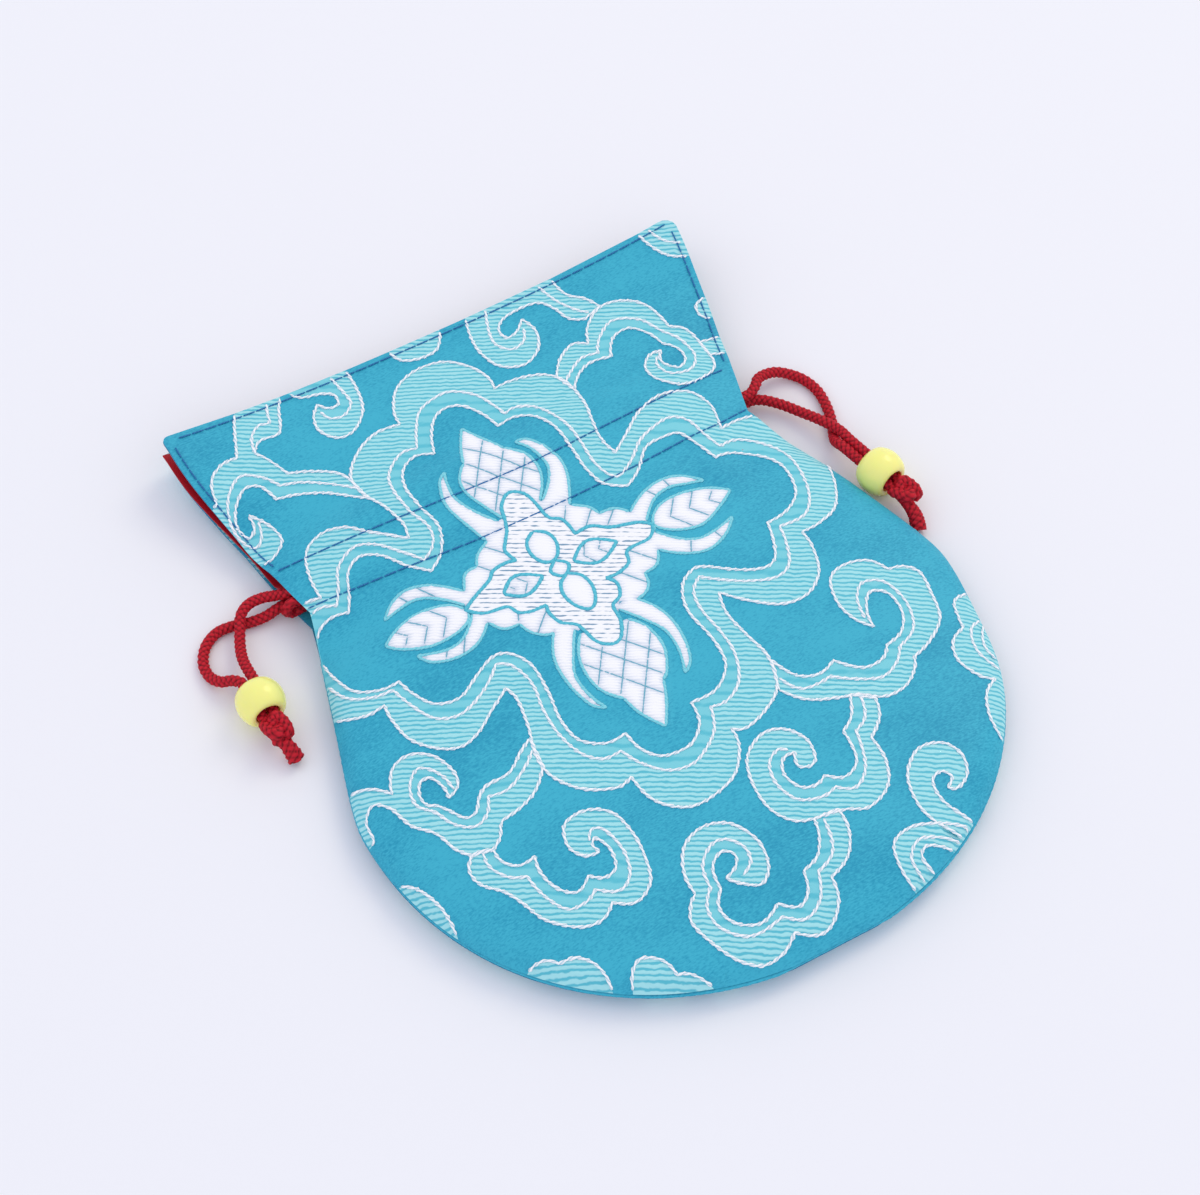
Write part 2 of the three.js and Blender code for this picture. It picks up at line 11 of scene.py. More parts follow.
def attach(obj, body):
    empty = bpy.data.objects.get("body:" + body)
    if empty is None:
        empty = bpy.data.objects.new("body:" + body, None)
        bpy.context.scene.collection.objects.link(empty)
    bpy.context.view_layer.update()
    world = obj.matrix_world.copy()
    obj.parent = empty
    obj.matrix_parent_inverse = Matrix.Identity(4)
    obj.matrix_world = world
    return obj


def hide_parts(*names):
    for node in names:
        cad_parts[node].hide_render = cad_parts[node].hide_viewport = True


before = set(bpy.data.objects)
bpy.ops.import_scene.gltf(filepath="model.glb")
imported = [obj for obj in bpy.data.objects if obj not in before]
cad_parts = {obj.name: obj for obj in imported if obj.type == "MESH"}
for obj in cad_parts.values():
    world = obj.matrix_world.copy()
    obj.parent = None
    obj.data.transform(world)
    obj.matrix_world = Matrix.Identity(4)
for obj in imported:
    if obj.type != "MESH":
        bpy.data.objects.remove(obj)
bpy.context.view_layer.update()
bpy.ops.object.select_all(action="DESELECT")
print("frame loaded:", ", ".join(sorted(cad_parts)))

pouch = {
    "bodyWidth": 119.2, "widest": 57.0, "roundness": 2.12, "firstAngle": 7, "shoulderRound": 6.0,
    "waistWidth": 92.0, "waist": 102.8, "mouthWidth": 108.0, "length": 148.5, "corners": (2.6, 1.4),
    "brocade": 0.45, "lining": 0.3, "layerGap": 0.35, "channel": 10.5, "seam": 3.4, "seamGap": 0.3,
    "bodyCrown": 9.8, "channelCrown": 10.8, "mouthCrown": 8.4, "mouthEdge": 9.9, "fullness": 0.55,
    "backMouthEdge": 2.4, "backMouthLift": 0.9, "bottomRise": 30.0, "backRise": 22.0, "backFlat": 0.7,
    "neckStart": 0.6, "seamOpens": 0.78, "cord": 1.9, "clearance": 0.25, "pocketEase": 0.3,
}
firstAngle = math.radians(pouch["firstAngle"])  # the round bottom is cut flat below this angle
lowestRow = pouch["widest"] * (1 - math.cos(firstAngle) ** (2 / pouch["roundness"]))
middle = (lowestRow + pouch["length"]) / 2  # y of the origin
channelTop = pouch["waist"] + pouch["channel"]
channelMiddle = pouch["waist"] + pouch["channel"] / 2
cordRadius = pouch["cord"] / 2


def mix(a, b, t):
    return a + (b - a) * t


def ease(value, start, stop):
    t = np.clip((value - start) / (stop - start), 0, 1)
    return t * t * (3 - 2 * t)


def bottomRows(angle, count):  # rows from an angle on the round bottom up to the widest one
    angles = np.linspace(angle, math.pi / 2, count)
    return pouch["widest"] * (1 - np.cos(angles) ** (2 / pouch["roundness"]))


def halfWidth(y):
    y = np.asarray(y, float)
    power = pouch["roundness"]
    below = np.clip((pouch["widest"] - y) / pouch["widest"], 0, 1)
    low = pouch["bodyWidth"] / 2 * np.clip(1 - below**power, 0, 1) ** (1 / power)
    run = np.hypot(y - pouch["widest"], pouch["shoulderRound"]) - pouch["shoulderRound"]
    full = math.hypot(pouch["waist"] - pouch["widest"], pouch["shoulderRound"]) - pouch["shoulderRound"]
    shoulder = mix(pouch["bodyWidth"], pouch["waistWidth"], run / full) / 2
    up = (y - pouch["waist"]) / (pouch["length"] - pouch["waist"])
    neck = mix(pouch["waistWidth"], pouch["mouthWidth"], up) / 2
    return np.where(y < pouch["widest"], low, np.where(y < pouch["waist"], shoulder, neck))


seamEdge = pouch["seamGap"] / 2 + pouch["brocade"]
channelEdge = pouch["cord"] + pouch["seamGap"] / 2 + pouch["clearance"] + pouch["brocade"]
neckStart = mix(pouch["widest"], pouch["waist"], pouch["neckStart"])
seamOpens = mix(pouch["widest"], pouch["waist"], pouch["seamOpens"])

# How much further out than the even shape each side of the cloth lies: rows, millimetres
sideSlack = {
    "left": ([78, 90, 100, 106, 120, 140, 148.5], [0, 0.4, 0.7, 1.3, 1.4, 1.6, 0.3]),
    "right": ([30, 45, 58, 84, 94, 102, 108, 118, 128, 142, 148.5],
              [0, -1.2, -0.2, 0, -0.9, -1.6, -1.0, 0, 0.7, 0.8, 0.5]),
}


def sideWidth(x, y):  # half the width on the side where x is, its slack smoothed over 8 mm
    y = np.asarray(y, float)
    left, right = (np.mean([np.interp(y + near, *sideSlack[side]) for near in range(-4, 5)], axis=0)
                   for side in ("left", "right"))
    return halfWidth(y) + np.where(np.asarray(x) < 0, left, right)


def across(x, y):  # 0 in the middle of the cloth, 1 at its side
    return np.clip(np.abs(x) / np.maximum(sideWidth(x, y), 1e-6), 0, 1)


def roundUp(y, length):
    rise = np.clip((y - lowestRow) / length, 0, 1)
    return np.sqrt(1 - (1 - rise) ** 2)


def frontHeight(x, y):  # upper face of the front panel
    x, y = np.asarray(x, float), np.asarray(y, float)
    opened = ease(y, seamOpens, pouch["waist"])
    flare = ease(y, channelTop, pouch["length"])
    edge = mix(pouch["seam"] + mix(seamEdge, channelEdge, opened), pouch["mouthEdge"], flare)
    body = mix(pouch["seam"] + seamEdge, pouch["bodyCrown"], roundUp(y, pouch["bottomRise"]))
    neck = mix(pouch["channelCrown"], pouch["mouthCrown"], flare)
    toNeck = ease(y, neckStart, pouch["waist"])
    return mix(edge, mix(body, neck, toNeck), (1 - across(x, y) ** 3) ** mix(pouch["fullness"], 1, toNeck))


def backHeight(x, y):  # lower face of the back panel
    x, y = np.asarray(x, float), np.asarray(y, float)
    opened = ease(y, seamOpens, pouch["waist"])
    flare = ease(y, channelTop, pouch["length"])
    edge = mix(pouch["seam"] - mix(seamEdge, channelEdge, opened), pouch["backMouthEdge"], flare)
    body = mix(pouch["seam"] - seamEdge, 0, roundUp(y, pouch["backRise"]))
    rim = np.clip((across(x, y) - pouch["backFlat"]) / (1 - pouch["backFlat"]), 0, 1)
    return mix(mix(body, pouch["backMouthLift"], flare), edge, rim**2)


def pocketDepth(y):  # air between brocade and lining, deep where the cords run
    full = pouch["cord"] + 2 * pouch["clearance"]
    half = pouch["cord"] + 1.5 * pouch["clearance"] + pouch["pocketEase"]
    out = (np.abs(np.asarray(y, float) - channelMiddle) - half) / (pouch["channel"] / 2 - half)
    return mix(full, pouch["layerGap"], np.clip(out, 0, 1))


stitchRows = {"upper": (109.3, 4.2, 48, 1.6), "lower": (98.9, 4.6, 46, 1.9)}  # middle, rise, at x, power
pucker = {"deep": 0.24, "wide": 1.1}  # the cloth along a row of stitches


def rowHeight(name, x):
    low, rise, far, power = stitchRows[name]
    return low + rise * (np.abs(x) / far) ** power


# Soft hollows and swells of the filled cloth: x, y, how wide, how long, how high
swells = [(-22, 18, 16, 12, -0.5), (2, 58, 30, 9, 0.3), (-30, 76, 14, 10, -0.35), (30, 30, 14, 12, -0.3),
          (-5, 118, 22, 8, 0.3), (34, 88, 9, 14, -0.35), (-38, 122, 9, 9, -0.3), (12, 10, 18, 8, 0.35),
          (42, 60, 10, 12, 0.3), (-46, 46, 9, 14, 0.3), (-45, 95, 8, 4, -1.1), (-38, 87, 9, 4, 0.5),
          (40, 97, 5, 7, -1.2), (33, 92, 4, 9, 0.4), (18, 101, 10, 3, -0.4), (-16, 100, 9, 3, -0.35),
          (-42, 104, 6, 2, 0.4), (-40, 100, 7, 2, -0.5), (38, 107, 7, 2.2, -0.5), (-30, 128, 12, 5, -0.4),
          (24, 133, 12, 6, -0.4), (46, 78, 8, 5, -0.5)]

flap = {"drop": 1.6, "dropEnd": 122, "cornersFrom": 128, "valley": 0.9, "valleyFrom": 130,
        "dip": 0.9, "dipFull": 117, "dipEnds": (119, 126), "curl": 1.3, "mouthCurl": 1.0}


def flapSettle(x, y):  # the empty flaps lie lower than a filled neck, but for the corners
    u = across(x, y)
    kept = u**4 * ease(y, flap["cornersFrom"], pouch["length"])
    valley = flap["valley"] * (1 - u**2) ** 2 * ease(y, flap["valleyFrom"], pouch["length"])
    leftSide = flap["dip"] * u**4 * (np.asarray(x) < 0)
    dip = leftSide * ease(y, channelTop, flap["dipFull"]) * (1 - ease(y, *flap["dipEnds"]))
    return -flap["drop"] * ease(y, channelTop, flap["dropEnd"]) * (1 - kept) - valley - dip


def backCurl(x, y):  # the sides of the back flap curl up to the front
    rise = flap["curl"] * ease(y, channelTop, flap["dropEnd"])
    return across(x, y) ** 3 * (rise + flap["mouthCurl"] * ease(y, flap["valleyFrom"], pouch["length"]))


def clothFront(x, y):
    x, y = np.asarray(x, float), np.asarray(y, float)
    z = frontHeight(x, y) + flapSettle(x, y)
    inner = 1 - across(x, y) ** 6
    for sx, sy, wide, long, high in swells:
        z = z + inner * high * np.exp(-(((x - sx) / wide) ** 2) - ((y - sy) / long) ** 2)
    for name in stitchRows:
        z = z - pucker["deep"] * np.exp(-(((y - rowHeight(name, x)) / pucker["wide"]) ** 2))
    return z


def clothBack(x, y):
    return backHeight(x, y) + backCurl(x, y)


def toRow(points):  # millimetres from the bottom of the pouch to metres in the frame
    p = np.asarray(points, float).copy()
    p[..., 1] -= middle
    return p / 1000


# materials


def linear(r, g, b):
    def one(c):
        c /= 255
        return c / 12.92 if c <= 0.04045 else ((c + 0.055) / 1.055) ** 2.4

    return (one(r), one(g), one(b), 1.0)


def newFinish(name, color, rough, shine=0.25, coat=0.0):
    finish = bpy.data.materials.new(name)
    finish.use_nodes = True
    shader = finish.node_tree.nodes["Principled BSDF"]
    shader.inputs["Base Color"].default_value = linear(*color)
    shader.inputs["Roughness"].default_value = rough
    shader.inputs["Specular IOR Level"].default_value = shine
    shader.inputs["Coat Weight"].default_value = coat
    return finish, finish.node_tree, shader


def addNode(tree, kind, **values):
    node = tree.nodes.new(kind)
    for key, value in values.items():
        if key in node.inputs:
            node.inputs[key].default_value = value
        else:
            setattr(node, key, value)
    return node


def addMark(tree, name):  # a value that markPoints put on the mesh
    return addNode(tree, "ShaderNodeAttribute", attribute_name=name).outputs["Fac"]


def placed(tree, turn=0.0, stretch=(1, 1, 1)):  # object coordinates, turned about z and stretched
    where = addNode(tree, "ShaderNodeTexCoord")
    mapping = addNode(tree, "ShaderNodeMapping", Rotation=(0, 0, math.radians(turn)), Scale=stretch)
    tree.links.new(where.outputs["Object"], mapping.inputs["Vector"])
    return mapping.outputs["Vector"]


def addNoise(tree, scale, detail, turn, stretch):
    noise = addNode(tree, "ShaderNodeTexNoise", Scale=scale, Detail=detail)
    tree.links.new(placed(tree, turn, stretch), noise.inputs["Vector"])
    return noise.outputs["Fac"]


def blend(tree, share, first, second):
    tone = addNode(tree, "ShaderNodeMix", data_type="FLOAT")
    tone.inputs[0].default_value = share
    tree.links.new(first, tone.inputs[2])
    tree.links.new(second, tone.inputs[3])
    return tone.outputs[0]


def paint(tree, shader, source, *stops):  # two places on a ramp, each with its colour
    ramp = addNode(tree, "ShaderNodeValToRGB")
    for element, (place, color) in zip(ramp.color_ramp.elements, stops):
        element.position = place
        element.color = linear(*color)
    tree.links.new(source, ramp.inputs["Fac"])
    tree.links.new(ramp.outputs["Color"], shader.inputs["Base Color"])


def addBump(tree, shader, source, strength, depth):
    bump = addNode(tree, "ShaderNodeBump", Strength=strength, Distance=depth / 1000)
    tree.links.new(source, bump.inputs["Height"])
    tree.links.new(bump.outputs["Normal"], shader.inputs["Normal"])


weaveTurn = 29.7  # degrees: the weft of the brocade runs across the cloth at this angle
waveLength = 0.31416  # metres from crest to crest of a wave texture of scale 1

satin = {"ground": (60, 179, 204), "shade": (34, 152, 184), "rib": (166, 229, 233), "groove": (90, 191, 208),
         "band": (124, 210, 221), "bandShade": (92, 194, 210), "white": (252, 252, 253),
         "whiteShade": (202, 214, 230), "dash": (122, 158, 184), "hem": (34, 126, 164), "rough": 0.5}


def satinGround():
    finish, tree, shader = newFinish("tealSatin", satin["ground"], satin["rough"])
    grain = addNoise(tree, 2600.0, 3.0, weaveTurn + 55, (0.5, 1.5, 1))
    sheenPatches = addNoise(tree, 46.0, 2.0, 40, (1, 2.0, 1))  # painted sheen: broad patches a little lighter and darker, as an uneven sheen lights the satin
    # the ramp from shade to ground mixes the weave's real grain with the painted sheen
    paint(tree, shader, blend(tree, 0.4, grain, sheenPatches), (0.37, satin["shade"]), (0.57, satin["ground"]))
    addBump(tree, shader, grain, 0.15, 0.06)
    return finish


def weftRibs(tree, period, wander):
    ribs = addNode(tree, "ShaderNodeTexWave", wave_type="BANDS", bands_direction="Y")
    ribs.inputs["Scale"].default_value = waveLength / (period / 1000)
    ribs.inputs["Distortion"].default_value = wander
    ribs.inputs["Detail"].default_value = 2.0
    ribs.inputs["Detail Scale"].default_value = 1.4
    tree.links.new(placed(tree, weaveTurn), ribs.inputs["Vector"])
    return ribs.outputs["Fac"]


def ribbedSatin(name, light, dark, period, share, depth=0.15):
    finish, tree, shader = newFinish(name, light, satin["rough"])
    ribs = weftRibs(tree, period, 3.0)
    uneven = addNoise(tree, 600.0, 2.0, weaveTurn, (0.45, 2.2, 1))  # floats of uneven length
    stops = ((0.1 + share * 0.36, dark), (0.2 + share * 0.7, light))
    paint(tree, shader, blend(tree, 0.42, ribs, uneven), *stops)
    addBump(tree, shader, ribs, 0.5, depth)
    return finish


def dashedSatin(name, light, dark, period):  # short dark floats between white ones
    finish, tree, shader = newFinish(name, light, satin["rough"])
    ribs = weftRibs(tree, period, 1.2)
    broken = addNode(tree, "ShaderNodeMath", operation="ADD")
    tree.links.new(ribs, broken.inputs[0])
    tree.links.new(addNoise(tree, 640.0, 1.0, weaveTurn, (0.8, 1.8, 1)), broken.inputs[1])
    paint(tree, shader, broken.outputs["Value"], (0.49, dark), (0.68, light))
    addBump(tree, shader, ribs, 0.4, 0.12)
    return finish


def shadedQuiltSatin(name, light, dark, period):  # painted shade: darker near the rims where the floats are bound down and the puffed cloth dips
    finish, tree, shader = newFinish(name, light, satin["rough"])
    ribs = weftRibs(tree, period, 3.0)
    paint(tree, shader, blend(tree, 0.25, addMark(tree, "swell"), ribs), (0.1, dark), (0.66, light))
    addBump(tree, shader, ribs, 0.4, 0.06)
    return finish


def plyShadedThread(name, light, dark):
    finish, tree, shader = newFinish(name, light, 0.55)
    # painted shade: the second colour lies in the grooves between the plies, where the yarn is thinnest
    paint(tree, shader, addMark(tree, "ply"), (0.05, dark), (0.5, light))
    return finish


weave = {"ground": 0, "ribs": 1, "band": 2, "white": 3, "plate": 4, "hem": 5}  # places in the list
brocadeFinishes = [
    satinGround(),
    ribbedSatin("cloudRibs", satin["rib"], satin["groove"], 0.95, 0.5),
    ribbedSatin("cloudBand", satin["band"], satin["bandShade"], 2.6, 0.35, 0.08),
    shadedQuiltSatin("whiteFigure", satin["white"], satin["whiteShade"], 0.6),
    dashedSatin("hatchedPlate", satin["white"], satin["dash"], 0.95),
    newFinish("hemFold", satin["hem"], 0.6)[0],
]
# each thread's second colour is painted shade between its plies
whiteThread = plyShadedThread("whiteThread", (253, 253, 254), (166, 206, 221))
plateThread = plyShadedThread("plateThread", (92, 196, 213), (62, 172, 198))
paleThread = plyShadedThread("paleThread", (134, 215, 226), (98, 198, 214))
veinThread = plyShadedThread("veinThread", (122, 184, 202), (100, 166, 188))
stitchThread = plyShadedThread("stitchThread", (46, 120, 176), (26, 86, 144))
liningFinish = newFinish("redSatin", (184, 24, 38), 0.45)[0]
print("cloth finishes made")

# The woven pattern, drawn on the cloth. A line is a list of strokes that meet at corners. A stroke
# is a smooth curve through its points, and each but the first goes on from the end of the one before it.
ring = {
    "outer": [
        [(-14, 130.7), (-13.4, 134.4), (-10.3, 139.3), (-5.2, 141.6), (0.5, 140.7), (4.2, 136.4),
         (5.5, 132), (5.1, 129.3)],
        [(9.7, 129.3), (14.7, 127.6), (17.4, 123.8), (17.6, 118), (16.2, 111), (15.8, 107), (16.6, 103.8)],
        [(20.5, 106.6), (25.5, 110.3), (31, 112), (35.9, 110.7), (38.4, 107), (38, 103), (37.5, 100.8)],
        [(41.5, 101.4), (46.5, 100.5), (50.5, 96), (51.6, 90), (50.5, 82.7), (46.8, 75.7), (42, 73.2),
         (37.7, 72.7)],
        [(37.4, 68.5), (35.3, 63.2), (31, 60.2), (26, 60.5), (21.5, 63.7), (17.4, 68.1)],
        [(16.3, 63.5), (17, 57.7), (17.9, 52), (16, 46), (11.3, 42.7), (6.8, 41.5), (4.7, 42.6)],
        [(4, 38.9), (0.5, 34.5), (-4.9, 32.6), (-9.9, 32.9), (-14.1, 36.8), (-15.3, 42.8)],
        [(-18.5, 42.2), (-23.7, 45), (-26.9, 49.6), (-27.4, 54.3), (-25.7, 60.3), (-24.6, 66.3),
         (-25.2, 69.4)],
        [(-29.5, 66.7), (-33.7, 63.9), (-37.5, 63), (-41.2, 65), (-44.3, 69.2), (-45.1, 74.5),
         (-44.8, 77.9)],
        [(-48.5, 77.9), (-53, 80.6), (-57.5, 86), (-58, 94), (-54, 102), (-48.5, 104.8), (-44.1, 104)],
        [(-43.8, 109), (-42, 113.7), (-38, 115.7), (-34, 114.3), (-29.9, 110.2), (-25.3, 105.8)],
        [(-24.6, 109.3), (-25.8, 114.3), (-27.3, 119), (-27.5, 124.3), (-24.1, 128.7), (-19, 131.2),
         (-14, 130.7)],
    ],
    "middle": [
        [(-14.1, 123.7), (-12.2, 127.7), (-9.5, 131.6), (-6, 133.1), (-2.4, 133.1), (1.3, 129.8),
         (3, 125.6), (3.7, 122.6)],
        [(6.3, 123), (9.6, 120.8), (11.5, 115.2), (12.2, 110.5), (12, 104), (13, 100.4), (14.6, 98.9)],
        [(18.2, 101), (22.2, 104.3), (27.2, 106.2), (30.3, 106.4), (32.6, 104.3), (33.8, 100), (34.9, 97)],
        [(39, 97.6), (43, 94.8), (45.3, 90.5), (45.2, 85), (43.4, 79.3), (40.1, 76), (34.7, 75.7)],
        [(33.8, 71.8), (31.5, 67.3), (28, 66.1), (23.4, 67.7), (19, 70.5), (16.1, 72.9)],
        [(13.6, 70.5), (12.8, 66.4), (13.3, 60.6), (13.1, 55.4), (10.7, 50.2), (7, 47.9), (3.8, 48.1)],
        [(1.8, 43.7), (-2.4, 40.6), (-5.5, 39.8), (-9.1, 40.8), (-12.4, 44.3), (-14.2, 48.2)],
        [(-17.6, 48.3), (-20.3, 50.9), (-21.8, 56), (-21.8, 61.8), (-20.8, 68), (-22, 73), (-24.3, 74.8)],
        [(-27, 72.3), (-31.2, 69.8), (-35, 68.9), (-38.3, 70.3), (-40.3, 73.5), (-42.2, 79.7)],
        [(-46.2, 80.6), (-49.7, 83.5), (-51.1, 88.9), (-51, 95), (-48.8, 100), (-46, 102.3), (-42.4, 101)],
        [(-40.7, 103.6), (-38.6, 107.5), (-34.6, 109.5), (-31.2, 108.1), (-27.8, 104.1), (-24.9, 100.4)],
        [(-22, 102.5), (-21, 106), (-22.3, 111), (-22.7, 116), (-21.4, 120.9), (-17.4, 124.2),
         (-14.1, 123.7)],
    ],
    "inner": [
        [(-12, 120.7), (-10.6, 124.6), (-8, 128.5), (-5, 129.8), (-2, 128.5), (0.2, 124.6), (1.2, 120.4)],
        [(4.8, 120.9), (8, 118.8), (9.8, 113.5), (10, 108), (10, 103.2), (11.3, 98.8), (14.7, 96.2)],
        [(18, 98.2), (22.2, 102.4), (26.3, 103), (29.5, 102.5), (31.2, 98.8), (32.6, 94.9)],
        [(37, 94.7), (41.2, 91.7), (43, 87.5), (41.8, 81.5), (38, 78.4), (33.2, 77.4)],
        [(32.2, 73.9), (30.1, 69.8), (27.2, 68.9), (22.6, 71), (18.5, 74), (16.1, 74.8), (12.6, 72.7),
         (10.6, 67.5), (11.3, 60), (10.5, 54.3), (6.5, 50.8), (1.3, 50.6)],
        [(0.5, 46.4), (-2.5, 43.6), (-5.3, 43.1), (-8.6, 43.8), (-11, 46.7), (-11.8, 50.8)],
        [(-15.8, 50.8), (-19.4, 53.7), (-20.2, 58.5), (-19.2, 65.2), (-19, 71.3), (-21, 75.3),
         (-23.9, 76.4), (-28.2, 74.5), (-32.8, 72), (-37, 73), (-39.2, 76.3), (-40.5, 80.6)],
        [(-44.1, 81), (-47.8, 83.5), (-49.3, 88.1), (-49.4, 93.5), (-47.6, 98.2), (-44.5, 99.5),
         (-41.2, 98.7)],
        [(-39.6, 101.5), (-37.6, 105.6), (-34.5, 107.2), (-31.2, 105.3), (-28.3, 101.2), (-25, 97.6)],
        [(-21.6, 100.2), (-19.4, 105), (-20.2, 110.4), (-20.6, 115.6), (-18.6, 120.5), (-15.3, 122.2),
         (-12, 120.7)],
    ],
}

